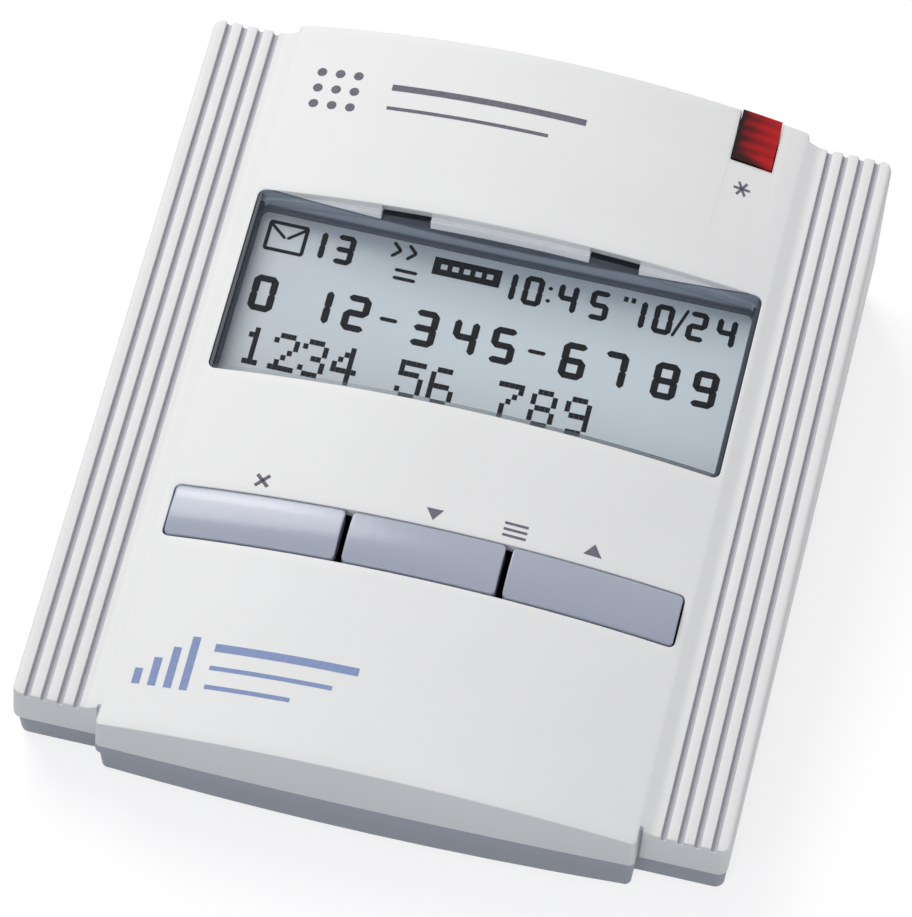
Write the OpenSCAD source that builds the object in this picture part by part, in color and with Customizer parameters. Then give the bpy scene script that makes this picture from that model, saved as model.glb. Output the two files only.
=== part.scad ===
/* [Case] */
// Width across the two ribbed side wings
case_w = 108; // [106:1:114]
// Depth of the side wings, front to back
wing_d = 119; // [118:1:126]
// Height of the wings at their front edge, above the underside
wing_front_h = 14.5; // [14:0.5:18]
// Slope of the top from front to back, in degrees
top_slope = 8; // [7.5:0.5:10]
// Height of the lower tray, up to the parting line
tray_h = 8; // [7.5:0.5:9]
// How far the tray's front leans in at the bottom
tray_rake = 2.4; // [1:0.2:3]
// How far the tray stands back under the top housing
seam_inset = 0.4; // [0.2:0.1:0.6]
// Wall of both housings
wall = 2; // [1.6:0.1:2.2]
// Thickness of the tray's floor
floor_t = 2.8; // [2.6:0.1:3.2]
// Rounding of the wings' upright corners
wing_corner_r = 1.5; // [0.8:0.1:3]
// Rounding of the wings' long outer edges
wing_edge_r = 0.8; // [0.4:0.1:1.2]
// Height of the tray's locating lip above the parting line
lip_h = 1.5; // [1:0.1:2.5]
// Thickness of the locating lip
lip_t = 1.2; // [0.8:0.1:1.4]

/* [Deck] */
// Width of the raised centre deck
deck_w = 80.4; // [80:0.2:82]
// Height of the deck's side edges above the wings
deck_step = 1.3; // [0.8:0.1:1.8]
// Rise of the deck's crown between its side edges
deck_crown = 4.5; // [3.5:0.1:5.5]
// How far the deck's front corners stand out past the wings
deck_front = 2.9; // [1.5:0.1:4]
// Bow of the deck's front edge
deck_bow = 1.2; // [0.6:0.1:2]
// How far the deck stands out behind the wings
deck_rear = 1.2; // [0.6:0.1:2]
// Width of the slope between wing and deck
flank_w = 2.2; // [1:0.1:2.4]
// Rounding along the top and the foot of that slope
flank_r = 2.5; // [1.5:0.1:3]
// Rounding of the deck's upright corners
deck_corner_r = 1; // [0.5:0.1:2]

/* [Wing grooves] */
// Grooves on each wing
groove_count = 4; // [2:1:4]
// Distance from groove to groove
groove_pitch = 2.5; // [2:0.1:2.6]
// Distance from the wing's outer edge to the first groove
groove_edge = 2.4; // [2:0.1:3]
// Width of a groove
groove_w = 0.9; // [0.6:0.1:1.2]
// Depth of a groove
groove_depth = 0.8; // [0.5:0.1:1.1]

/* [Display] */
// Width of the window
window_w = 79; // [76:0.5:79]
// Length of the window up the slope
window_l = 32.2; // [30:0.2:34]
// Distance up the slope from the wings' front edge to the window
window_at = 58.9; // [57:0.1:60]
// Rounding of the window's corners
window_r = 1.2; // [0.6:0.1:2]
// Depth of the window's white rim
rim_t = 3.4; // [3:0.1:3.6]
// Thickness of the clear window
pane_t = 1.2; // [0.8:0.1:1.5]
// How far the clear window lies below the deck
pane_sink = 0.25; // [0.1:0.05:0.4]
// Width of the ledge that carries the clear window
pane_ledge = 0.8; // [0.6:0.1:1.2]
// Width of each hooked tab on the window's rear edge
pane_tab_w = 7.8; // [5:0.2:9]
// Distance of the tabs from the middle
pane_tab_x = 16.3; // [12:0.1:20]
// Width of the display glass
glass_w = 82; // [81:0.5:83]
// Thickness of the display glass
glass_t = 2.8; // [2.2:0.1:3]
// How far the glass reaches past the window, front and back
glass_margin = 2.4; // [2:0.1:3]
// Width of the bezel's border at the sides
bezel_side = 1; // [0.9:0.1:3]
// Width of the bezel's border at front and back
bezel_end = 1.2; // [0.9:0.1:2]
// Thickness of the bezel's plates and walls
bezel_t = 0.8; // [0.6:0.1:1]
// Thickness of the reflector behind the glass
reflector_t = 0.3; // [0.2:0.1:0.5]
// Height of the elastomer strips between glass and board
strip_h = 3; // [2.6:0.1:3]
// Width of an elastomer strip
strip_w = 2; // [1.6:0.1:2.4]

/* [Keys] */
// Width of the row of keys
key_row_w = 77.4; // [72:0.2:78]
// Length of a key up the slope
key_l = 8.3; // [7.5:0.1:9.5]
// Distance up the slope from the wings' front edge to the keys
key_at = 29.9; // [28.5:0.1:32]
// Width of the middle key
mid_key_w = 23.3; // [22:0.1:25]
// Gap between neighbouring keys
key_gap = 1.1; // [0.6:0.1:1.5]
// Rounding of a key's upright corners
key_corner_r = 0.7; // [0.4:0.1:1]
// Height of the keys above the deck
key_proud = 0.8; // [0.4:0.1:1.2]
// Radius of the keys' dished-over section, front to back
key_round_r = 13; // [10:0.5:20]
// Wall of a key
key_wall = 1.2; // [1:0.1:1.5]
// Travel of a key
key_travel = 1; // [0.6:0.1:1.2]
// Reach of a key's retaining flange past the key
key_flange = 0.9; // [0.8:0.1:1.2]
// Diameter of a key's stem
key_stem_d = 4; // [3:0.1:4.6]
// Height of a rubber dome
dome_h = 4.5; // [4:0.1:5]
// Diameter of a rubber dome's foot
dome_d = 10; // [9:0.5:11]

/* [Call light] */
// Width of the red lens
lens_w = 6.3; // [5:0.1:8]
// Length of the red lens, from the rear edge
lens_l = 8.8; // [7:0.1:11]
// Distance of the red lens from the middle
lens_x = 32.9; // [31:0.1:33.5]
// Height of the red lens above the deck
lens_proud = 0.3; // [0.1:0.1:0.6]
// Drop of the red lens down the rear wall
lens_drop = 6; // [4:0.5:8]
// Wall of the red lens
lens_t = 2; // [1.5:0.1:2.2]
// Diameter of the lamp under the lens
lamp_d = 3; // [2.5:0.1:4]
// Height of the lamp's body
lamp_h = 5.3; // [4.5:0.1:5.6]

/* [Jacks] */
// Width of a modular jack
jack_w = 13.2; // [12.6:0.1:13.6]
// Height of a modular jack
jack_h = 12; // [11.5:0.1:12.2]
// Depth of a modular jack
jack_d = 17.5; // [16:0.1:18]
// Width of the plug's space
plug_w = 9.8; // [9.7:0.1:10]
// Height of the plug's space
plug_h = 7.6; // [7.4:0.1:8]
// Depth of the plug's space
plug_d = 13; // [12:0.1:14]
// Distance between the two jacks
jack_pitch = 15.2; // [14.6:0.1:15.6]
// Distance of the outer jack's axis from the case's right side
jack_x = 20.6; // [20.2:0.1:20.7]
// Contact wires in a jack
contact_count = 4; // [2:2:6]
// Distance from wire to wire
contact_pitch = 1.27; // [1.2:0.01:1.3]

/* [Battery] */
// Diameter of a cell
cell_d = 10.5; // [10:0.1:10.6]
// Length of a cell
cell_l = 44.5; // [43.5:0.1:45]
// Distance from cell to cell
cell_pitch = 10.7; // [10.7:0.05:10.9]
// Room for a contact at each end of a cell
contact_room = 2.2; // [1.8:0.1:2.4]
// Distance of the bay's right end from the case's right side
bay_x = 45.5; // [45.4:0.1:46]
// Distance of the bay's front from the middle
bay_y = 16; // [15.6:0.1:17]
// Wall of the battery bay
bay_wall = 1.4; // [1.2:0.1:1.5]
// Ceiling of the battery bay
bay_roof = 1.2; // [0.9:0.1:1.3]
// Thickness of the floor under the door's tongues
door_lip = 0.9; // [0.8:0.1:1]
// Thickness of the door's tongues
tongue_t = 1; // [0.8:0.1:1]
// Reach of the door's tongues
tongue_w = 0.9; // [0.7:0.1:1.2]
// Grip grooves in the door
grip_count = 4; // [3:1:5]

/* [Boards and fasteners] */
// Thickness of a circuit board
board_t = 1.6; // [1.2:0.1:1.7]
// Height of the line board above the tray's floor
line_board_rise = 1; // [0.8:0.1:1.2]
// Diameter of the case screws
case_screw_d = 2.6; // [2.2:0.1:3]
// Length of the case screws under the head
case_screw_l = 10; // [8:0.5:10.5]
// Diameter of the case screws' heads
case_head_d = 5.4; // [5:0.1:5.8]
// Diameter of the board screws
board_screw_d = 2.2; // [1.8:0.1:2.4]
// Length of the board screws under the head
board_screw_l = 4.6; // [4.2:0.1:4.8]
// Diameter of the board screws' heads
board_head_d = 4.4; // [4:0.1:4.6]
// Height of a screw's head
head_h = 1.7; // [1.4:0.1:1.8]
// Diameter of a rubber foot
foot_d = 9; // [8:0.2:9]
// Height of the feet below the case
foot_h = 1; // [0.8:0.1:2]
// Depth of a foot's seat in the floor
foot_seat = 0.8; // [0.5:0.1:1]

/* [Hidden] */
$fn = 96;

// Clearances
slip = 0.15;      // sliding pieces and pieces dropped into a seat
touch = 0.05;     // pieces pressed together
key_clear = 0.3;  // between the keys and their slot
key_rest = 0.2;   // between a key's flanges and the deck above them
eps = 0.01;       // overshoot of a cut
far = 300;        // longer than the whole object

// Places in plan: the middle of the whole depth is at zero
total_d = deck_rear + wing_d + deck_front + deck_bow;
rear_y = total_d / 2;
wing_rear_y = rear_y - deck_rear;
wing_front_y = wing_rear_y - wing_d;
nose_y = wing_front_y - deck_front;
bow_y = -rear_y;

// Heights above the table
under_z = foot_h;
floor_z = under_z + floor_t;
seam_z = under_z + tray_h;
wing_front_z = under_z + wing_front_h;
rake_a = atan(tray_rake / tray_h);

// Radius of an arc over a chord
function arc_r(half_chord, rise) = (pow(half_chord, 2) + pow(rise, 2)) / (2 * rise);

// The crown is an arc through the deck's edges
crown_r = arc_r(deck_w / 2, deck_crown);
crown_z = deck_step + deck_crown - crown_r;

// The deck's ends reach a little way down the flanks
nose_half = deck_w / 2 + flank_w * 0.2;

// Along the crest an arc lies inside the crown and touches it and the flank
flank_a = atan(deck_step / flank_w);
flank_run = [cos(flank_a), -sin(flank_a)];
crest = [deck_w / 2, deck_step];
crest_in = crest - flank_r * [sin(flank_a), cos(flank_a)];
crest_run = (crest_in - [0, crown_z]) * flank_run;
crest_gap = pow(norm(crest_in - [0, crown_z]), 2) - pow(crown_r - flank_r, 2);
crest_at = crest_in + (-crest_run - sqrt(pow(crest_run, 2) - crest_gap)) * flank_run;

// Heights above the wings, square to the slope
bezel_top = -wall - touch;
glass_top = bezel_top - bezel_t;
glass_base = glass_top - glass_t;
board_top = glass_base - strip_h;
board_base = board_top - board_t;
stem_base = board_top + dome_h + touch;

// Places up the slope
window_end = window_at + window_l;
glass_l = window_l + 2 * glass_margin;
glass_at = window_at - glass_margin;
bezel_w = max(glass_w, window_w) + 2 * slip + 2 * bezel_t;
bezel_l = glass_l + 2 * slip + 2 * bezel_t;
bezel_at = glass_at - slip - bezel_t;
side_key_w = (key_row_w - 2 * key_gap - mid_key_w) / 2;
key_mid = key_at + key_l / 2;
lamp_at = (rear_y - lens_l / 2 - wing_front_y) / cos(top_slope) - 2.2;

// The display board: a sheet under the glass and keys, with a tongue out to the lamp
board_w = bezel_w + 2;
board_at = key_at - 8;
board_end = bezel_at + bezel_l + 8;
tongue_board_w = lens_w + 3.6;
tongue_board_end = lamp_at + 2.5;
board_screw_places = [
  for (side = [-1, 1]) [side * (board_w / 2 - 3.2), board_at + 3.2],
  [-board_w / 2 + 6, board_end - 5],
  [case_w / 2 - jack_x - jack_pitch - (jack_w + board_head_d) / 2 - 0.6, board_end - 5]
];

// Case screws and feet near the corners
screw_x = case_w / 2 - 7.5;
screw_front_y = wing_front_y + 11;
screw_rear_y = wing_rear_y - 7.5;
case_screw_places = [
  for (x = [-screw_x, screw_x], y = [screw_front_y, screw_rear_y]) [x, y]
];
tray_boss_r = case_head_d / 2 + 1.2;
top_boss_r = case_screw_d / 2 + 2.1;
screw_seat_z = under_z + head_h + 0.6;
foot_x = case_w / 2 - 18;
foot_places = [
  for (x = [-foot_x, foot_x], y = [wing_front_y + 9.5, wing_rear_y - 5]) [x, y]
];

// The battery bay, open underneath
cell_count = 3;
bay_l = cell_count * cell_pitch + 2 * slip;
bay_w = cell_l + 2 * contact_room;
bay_x1 = case_w / 2 - bay_x;
bay_x0 = bay_x1 - bay_w;
door_top = under_z + door_lip + slip + tongue_t;
cell_z = door_top + slip + cell_d / 2;
bay_top = cell_z + cell_d / 2 + slip;
bay_roof_z = bay_top + bay_roof;
door_end_x = -case_w / 2 + seam_inset;
contact_t = 0.4;
contact_h = 6;

// The line board stands flat on the tray, right of the bay
line_board_z = floor_z + line_board_rise;
line_top = line_board_z + board_t;
line_x0 = bay_x1 + bay_wall + 0.6;
line_x1 = screw_x - tray_boss_r - 0.5;
line_y0 = bay_y - 3;
line_y1 = wing_rear_y - wall - 0.4;
jack_face_y = wing_rear_y - 0.3;
jack_back_y = jack_face_y - jack_d;
jack_places = [case_w / 2 - jack_x - jack_pitch, case_w / 2 - jack_x];
plug_z = line_top + 1.6;
line_screw_places = [[line_x1 - 3, line_y0 + 3], [line_x0 + 3, line_y0 + 12]];

// Large parts on the line board
socket_w = 14;
socket_l = 4;
socket_h = 2.9;
socket_x = line_x0 + 1.8 + socket_w / 2;
socket_y = line_y0 + 1;
transformer_size = [15, 13, 10];
transformer_at = [line_x1 - transformer_size[0] - 0.6, jack_back_y - transformer_size[1] - 1.2];
decoder_size = [6.4, 19, 3.4];
decoder_at = [line_x0 + 6.5, jack_back_y - decoder_size[1] - 1.65];

// Carry a shape from the slope's frame: x across, y up the slope, z square to it
module on_slope() {
  translate([0, wing_front_y, wing_front_z]) rotate([top_slope, 0, 0]) children();
}

// Draw a section out along the slope
module slope_prism(from, to) {
  translate([0, to, 0]) rotate([90, 0, 0]) linear_extrude(to - from) children();
}

// A rectangle between two corners, with round corners
module round_rect(low, high, r) {
  size = high - low;
  translate(low + [r, 0]) square([size[0] - 2 * r, size[1]]);
  translate(low + [0, r]) square([size[0], size[1] - 2 * r]);
  for (x = [low[0] + r, high[0] - r], y = [low[1] + r, high[1] - r]) translate([x, y]) circle(r);
}

// A box on the slope, centred across it
module slope_box(w, l, at, z0, z1, r = 0) {
  translate([0, 0, z0]) linear_extrude(z1 - z0) {
    if (r > 0) round_rect([-w / 2, at], [w / 2, at + l], r);
    else translate([-w / 2, at]) square([w, l]);
  }
}

// Everything under the crown at a given offset from the deck
module under_crown(offset_z) {
  slope_prism(-far / 10, far) translate([0, crown_z]) circle(crown_r + offset_z, $fn = 360);
}

// Outline of the case in plan, which may be drawn wider over the wings and longer to the rear
module plan_outline(inset, wider = 0, longer = 0) {
  wing = case_w / 2 - inset + wider;
  nose = nose_half - inset;
  chord = nose - deck_corner_r - 0.4;
  bow_r = arc_r(chord, deck_bow);
  round_rect([-wing, wing_front_y + inset], [wing, wing_rear_y - inset + longer], wing_corner_r);
  round_rect([-nose, nose_y + inset], [nose, rear_y - inset + longer], deck_corner_r);
  intersection() {
    translate([0, bow_y + inset + bow_r]) circle(bow_r, $fn = 720);
    translate([-chord - 0.2, bow_y]) square([2 * chord + 0.4, inset + deck_bow + deck_front]);
  }
}

// Section of the top across the slope: ribbed wings, flanks and crowned deck
module top_section() {
  half = case_w / 2;
  difference() {
    union() {
      translate([-half, -far / 5]) square([case_w, far / 5 - wing_edge_r]);
      translate([-half + wing_edge_r, -far / 5]) square([case_w - 2 * wing_edge_r, far / 5]);
      for (side = [-1, 1]) translate([side * (half - wing_edge_r), -wing_edge_r]) circle(wing_edge_r);
    }
    for (side = [-1, 1], i = [0 : groove_count - 1]) {
      translate([side * (half - groove_edge - i * groove_pitch), 0]) groove_section();
    }
  }
  deck_section();
}

module groove_section() {
  translate([-groove_w / 2, -groove_depth + groove_w / 2]) square([groove_w, groove_depth]);
  translate([0, -groove_depth + groove_w / 2]) circle(d = groove_w);
}

module deck_section() {
  edge = deck_w / 2;
  difference() {
    union() {
      intersection() {
        translate([0, crown_z]) circle(crown_r, $fn = 720);
        translate([-edge, -wall]) square([deck_w, far / 5]);
      }
      for (side = [-1, 1]) {
        polygon([
          [side * (edge - 1), -wall], [side * (edge - 1), deck_step], [side * edge, deck_step],
          [side * (edge + flank_w), 0], [side * (edge + flank_w), -wall]
        ]);
      }
    }
    for (side = [-1, 1]) crest_cut(side);
  }
  for (side = [-1, 1]) flank_foot(side);
}

function to_side(side, points) = [for (p = points) [side * p[0], p[1]]];

// What the rounding takes off the crest: a wedge from the arc's centre, outside the arc
module crest_cut(side) {
  crown_side = (crest_at - [0, crown_z]) / norm(crest_at - [0, crown_z]);
  flank_side = [sin(flank_a), cos(flank_a)];
  difference() {
    polygon(to_side(side, [
      crest_at, crest_at + 1.2 * flank_r * crown_side, crest + 0.3 * flank_side,
      crest_at + 1.2 * flank_r * flank_side
    ]));
    translate([side * crest_at[0], crest_at[1]]) circle(flank_r + eps);
  }
}

// What the rounding fills in where the flank meets the wing
module flank_foot(side) {
  foot = deck_w / 2 + flank_w;
  reach = flank_r * tan(flank_a / 2);
  difference() {
    polygon(to_side(side, [
      [foot, 0] - reach * flank_run, [foot + reach, 0], [foot + reach, -wall], [foot - flank_w / 2, -wall]
    ]));
    translate([side * (foot + reach), flank_r]) circle(flank_r);
  }
}

// Section of the hollow inside the top housing
module hollow_section() {
  half = case_w / 2 - wall;
  translate([-half, -far / 5]) square([2 * half, far / 5 - wall]);
  intersection() {
    translate([0, crown_z]) circle(crown_r - wall, $fn = 720);
    translate([-deck_w / 2 + wall / 2, -2 * wall]) square([deck_w - wall, far / 5]);
  }
}

// The top housing's outside, from the parting line up
module top_outside() {
  intersection() {
    translate([0, 0, seam_z]) linear_extrude(far / 4) plan_outline(0);
    on_slope() slope_prism(-far / 10, far / 2) top_section();
  }
}

module top_hollow() {
  intersection() {
    translate([0, 0, seam_z - 1]) linear_extrude(far / 4) plan_outline(wall);
    on_slope() slope_prism(-far / 10, far / 2) hollow_section();
  }
}

// The white rim below the window, down to the bezel
module window_rim() {
  intersection() {
    on_slope() difference() {
      slope_box(window_w + 3, window_l + 4.4, window_at - 2.2, -wall, far / 10);
      under_crown(-rim_t);
    }
    top_outside();
  }
}

// Screw bosses that hang from the inside of the top
module top_bosses() {
  intersection() {
    union() {
      for (p = case_screw_places) translate([p[0], p[1], seam_z]) cylinder(r = top_boss_r, h = far / 5);
      on_slope() for (p = board_screw_places) {
        translate([p[0], p[1], board_top]) cylinder(d = board_screw_d + 3.4, h = far / 10);
      }
    }
    top_outside();
  }
}

// Openings of the top housing: window, tab slots, keys, red lens, jacks and screw pilots
module top_openings() {
  on_slope() {
    difference() {
      slope_box(window_w, window_l, window_at, -wall - 1, far / 10, window_r);
      under_crown(-pane_sink - pane_t);
    }
    slope_box(window_w - 2 * pane_ledge, window_l - 2 * pane_ledge, window_at + pane_ledge,
      -2 * wall, far / 10, window_r);
    intersection() {
      for (side = [-1, 1]) translate([side * pane_tab_x, 0, 0]) {
        slope_box(pane_tab_w, 4, window_end - pane_ledge - 2, -2 * wall, far / 10);
      }
      under_crown(-pane_sink);
    }
    slope_box(key_row_w + 2 * key_clear, key_l + 2 * key_clear, key_at - key_clear, -2 * wall, far / 10,
      key_corner_r + key_clear);
    for (p = board_screw_places) translate([p[0], p[1], board_top - 1]) {
      cylinder(d = board_screw_d, h = board_screw_l - board_t + 1.6);
    }
  }
  call_light_space(slip);
  for (x = jack_places) translate([x - jack_w / 2 - slip, wing_rear_y - 2 * wall, seam_z - 1]) {
    cube([jack_w + 2 * slip, far / 10, line_top + jack_h + slip - seam_z + 1]);
  }
  for (p = case_screw_places) translate([p[0], p[1], seam_z - 1]) {
    cylinder(d = case_screw_d, h = screw_seat_z + case_screw_l + 0.6 - seam_z + 1);
  }
}

module top_housing() {
  color([0.92, 0.92, 0.9]) difference() {
    union() {
      difference() {
        top_outside();
        top_hollow();
      }
      window_rim();
      top_bosses();
    }
    top_openings();
  }
}

// Sides and rear of the tray in plan, open to the front
module tray_outline(inset) {
  wing = case_w / 2 - inset;
  nose = nose_half - inset;
  round_rect([-wing, bow_y - far / 10], [wing, wing_rear_y - inset], wing_corner_r);
  round_rect([-nose, bow_y - far / 10], [nose, rear_y - inset], deck_corner_r);
}

// The tray's block: upright sides and rear, and a front that leans in
module tray_block(inset, z0, z1) {
  run_out = 0.03;
  intersection() {
    translate([0, 0, z0]) linear_extrude(z1 - z0) tray_outline(inset);
    translate([0, nose_y, seam_z]) rotate([rake_a, 0, 0]) translate([0, -nose_y, -far / 4]) {
      linear_extrude(far / 2) plan_outline(inset, run_out, far / 4);
    }
  }
}

// Locating lip inside the parting line
module tray_lip() {
  inset = wall + slip;
  difference() {
    translate([0, 0, seam_z - lip_h]) linear_extrude(2 * lip_h) difference() {
      plan_outline(inset);
      plan_outline(inset + lip_t);
    }
    for (p = case_screw_places) translate([p[0], p[1], seam_z]) cylinder(r = top_boss_r + slip, h = far);
    for (x = jack_places) translate([x - jack_w / 2 - slip, 0, 0]) cube([jack_w + 2 * slip, far, far]);
  }
}

// Section of the door and of its slot, seen from the side
module door_section(clear) {
  low = bay_y + slip - clear;
  wide = bay_l - 2 * slip + 2 * clear;
  tongue_low = under_z + door_lip + slip - clear;
  translate([low, under_z - eps * sign(clear)]) square([wide, tongue_low - under_z + tongue_t / 2]);
  translate([low - tongue_w, tongue_low]) square([wide + 2 * tongue_w, tongue_t + 2 * clear]);
}

module along_x(x0, x1) {
  translate([x0, 0, 0]) rotate([90, 0, 90]) linear_extrude(x1 - x0) children();
}

module bay_walls() {
  translate([bay_x0 - bay_wall, bay_y - bay_wall, under_z]) {
    cube([bay_w + 2 * bay_wall, bay_l + 2 * bay_wall, bay_roof_z - under_z]);
  }
}

module bay_space() {
  translate([bay_x0, bay_y, under_z - 1]) cube([bay_w, bay_l, bay_top - under_z + 1]);
  along_x(-case_w, bay_x1) door_section(slip);
}

// Slots where the battery leads leave the bay
module lead_slots() {
  translate([bay_x1 - 1, lead_y(positive_cell_y()) - 0.8, cell_z + 1]) cube([bay_wall + 2, 1.6, 4]);
  translate([bay_x0, lead_y(negative_cell_y()) - 0.8, bay_top - 1]) cube([contact_room, 1.6, bay_roof + 2]);
}

module bottom_housing() {
  color([0.8, 0.81, 0.83]) difference() {
    union() {
      difference() {
        tray_block(seam_inset, under_z, seam_z);
        tray_block(seam_inset + wall, floor_z, seam_z + 1);
      }
      tray_lip();
      for (p = case_screw_places) translate([p[0], p[1], under_z]) cylinder(r = tray_boss_r, h = tray_h);
      for (p = line_screw_places) translate([p[0], p[1], under_z]) {
        cylinder(d = board_screw_d + 3.4, h = line_board_z - under_z);
      }
      bay_walls();
    }
    bay_space();
    lead_slots();
    for (p = case_screw_places) translate([p[0], p[1], under_z - 1]) {
      cylinder(d = case_screw_d + 2 * slip, h = tray_h + 2);
      cylinder(d = case_head_d + 2 * slip, h = screw_seat_z - under_z + 1);
    }
    for (p = line_screw_places) translate([p[0], p[1], line_top - board_screw_l - 0.2]) {
      cylinder(d = board_screw_d, h = board_screw_l);
    }
    for (p = foot_places) translate([p[0], p[1], under_z - 1]) cylinder(d = foot_d + 2 * slip, h = foot_seat + 1);
    for (x = jack_places) translate([x - jack_w / 2 - slip, jack_back_y, line_top - slip]) {
      cube([jack_w + 2 * slip, far / 4, far / 10]);
    }
  }
}

module battery_door() {
  grip_pitch = 2.2;
  grip_r = 0.5;
  color([0.8, 0.81, 0.83]) difference() {
    along_x(door_end_x, bay_x1 - slip) door_section(0);
    for (i = [0 : grip_count - 1]) translate([door_end_x + 4 + i * grip_pitch, bay_y + bay_l / 2, under_z]) {
      rotate([90, 0, 0]) cylinder(r = grip_r, h = bay_l * 0.6, center = true);
    }
  }
}

module rubber_feet() {
  bevel = 0.5;
  color([0.12, 0.12, 0.13]) for (p = foot_places) translate([p[0], p[1], 0]) rotate_extrude() polygon([
    [0, 0], [foot_d / 2 - bevel, 0], [foot_d / 2, bevel], [foot_d / 2, under_z + foot_seat],
    [0, under_z + foot_seat]
  ]);
}

// Pan head screw, head down, with its seat at zero
module screw(d, l, head_d) {
  slot_w = 0.7;
  difference() {
    union() {
      translate([0, 0, -head_h]) cylinder(d1 = head_d - 1, d2 = head_d, h = head_h / 2);
      translate([0, 0, -head_h / 2]) cylinder(d = head_d, h = head_h / 2);
      cylinder(d = d - 2 * touch, h = l - 1);
      translate([0, 0, l - 1]) cylinder(d1 = d - 2 * touch, d2 = d / 3, h = 1);
    }
    for (a = [0, 90]) rotate(a) translate([-head_d * 0.3, -slot_w / 2, -head_h - eps]) {
      cube([head_d * 0.6, slot_w, head_h * 0.6]);
    }
  }
}

module case_screws() {
  color([0.7, 0.71, 0.73]) for (p = case_screw_places) translate([p[0], p[1], screw_seat_z]) {
    screw(case_screw_d, case_screw_l, case_head_d);
  }
}

module display_board_screws() {
  color([0.7, 0.71, 0.73]) on_slope() for (p = board_screw_places) translate([p[0], p[1], board_base]) {
    screw(board_screw_d, board_screw_l, board_head_d);
  }
}

module line_board_screws() {
  color([0.7, 0.71, 0.73]) for (p = line_screw_places) translate([p[0], p[1], line_top]) {
    rotate([180, 0, 0]) screw(board_screw_d, board_screw_l, board_head_d);
  }
}

// Clear crowned pane with two tabs hooked under the rear of the rim
module display_window() {
  tab_l = pane_ledge + 0.8;
  color([0.8, 0.85, 0.9, 0.35]) on_slope() intersection() {
    union() {
      slope_box(window_w - 2 * slip, window_l - 2 * slip, window_at + slip, -wall - 1, far / 10,
        window_r - slip);
      for (side = [-1, 1]) translate([side * pane_tab_x, 0, 0]) {
        slope_box(pane_tab_w - 2 * slip, tab_l, window_end - pane_ledge, -wall, far / 10);
      }
    }
    difference() {
      under_crown(-pane_sink);
      under_crown(-pane_sink - pane_t);
    }
  }
}

// Dark frame round the glass: a lip in front of it, walls down to the board and up to the rim
module display_bezel() {
  collar_t = 1.2;
  open_w = window_w - 2 * pane_ledge;
  open_l = window_l - 2 * pane_ledge;
  color([0.28, 0.31, 0.36]) on_slope() {
    difference() {
      slope_box(bezel_w, bezel_l, bezel_at, board_top, bezel_top);
      slope_box(glass_w + 2 * slip, glass_l + 2 * slip, glass_at - slip, board_top - 1, glass_top);
      slope_box(window_w - 2 * bezel_side, window_l - 2 * bezel_end, window_at + bezel_end,
        board_top, far / 10, window_r);
    }
    intersection() {
      difference() {
        slope_box(open_w + 2 * collar_t, open_l + 2 * collar_t, window_at + pane_ledge - collar_t,
          bezel_top - bezel_t / 2, far / 10);
        slope_box(open_w, open_l, window_at + pane_ledge, -far / 10, far / 5, window_r);
      }
      under_crown(-rim_t - slip);
    }
  }
}

module display_glass() {
  contact_edge = 1.6;
  rear_plate = glass_t * 0.45;
  color([0.66, 0.7, 0.72]) on_slope() {
    slope_box(glass_w, glass_l, glass_at, glass_base, glass_base + rear_plate);
    slope_box(glass_w - 2 * contact_edge, glass_l - 2 * contact_edge, glass_at + contact_edge,
      glass_base + rear_plate - eps, glass_top);
  }
}

module display_reflector() {
  room = 2 * (strip_w + 1);
  color([0.75, 0.78, 0.76]) on_slope() {
    slope_box(glass_w - 4, glass_l - 2 * room, glass_at + room, glass_base - reflector_t, glass_base);
  }
}

module connector_strips() {
  inset = 0.8;
  color([0.85, 0.45, 0.55]) on_slope() for (at = [glass_at + inset, glass_at + glass_l - inset - strip_w]) {
    slope_box(glass_w - 4, strip_w, at, board_top, glass_base);
  }
}

function key_w(i) = i == 1 ? mid_key_w : side_key_w;
function key_x(i) = (i - 1) * ((mid_key_w + side_key_w) / 2 + key_gap);

// A section turned about the crown's axis: x is the distance from the deck, y runs up the slope
module round_crown(x0, x1) {
  intersection() {
    translate([0, 0, crown_z]) rotate([-90, 0, 0]) rotate_extrude($fn = 360) translate([crown_r, 0]) children();
    translate([x0, 0, -far / 20]) cube([x1 - x0, far, far / 10]);
  }
}

// One key: a hollow domed cap, flanges that hold it under the deck, and a stem to its dome
module key(i) {
  x = key_x(i);
  low = x - key_w(i) / 2;
  high = x + key_w(i) / 2;
  flange_top = -wall - key_rest;
  flange_t = 1;
  base = flange_top - flange_t;
  roof = key_proud - 1.5 * key_wall;
  stem_top = crown_z + sqrt(pow(crown_r + roof, 2) - pow(x, 2)) + key_wall / 2;
  color([0.72, 0.74, 0.82]) on_slope() {
    difference() {
      union() {
        intersection() {
          round_crown(low - 1, high + 1) intersection() {
            translate([base, key_at - 1]) square([key_proud - base, key_l + 2]);
            translate([key_proud - key_round_r, key_mid]) circle(key_round_r);
          }
          translate([x, 0, 0]) slope_box(key_w(i), key_l, key_at, -far / 20, far / 10, key_corner_r);
        }
        round_crown(low + key_corner_r, high - key_corner_r) {
          translate([base, key_at - key_flange]) square([flange_t, key_l + 2 * key_flange]);
        }
      }
      round_crown(low + key_wall, high - key_wall) {
        translate([base - 1, key_at + key_wall]) square([roof - base + 1, key_l - 2 * key_wall]);
      }
    }
    translate([x, key_mid, stem_base]) cylinder(d = key_stem_d, h = stem_top - stem_base);
  }
}

module erase_key() { key(0); }
module scroll_down_key() { key(1); }
module scroll_up_key() { key(2); }

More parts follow.
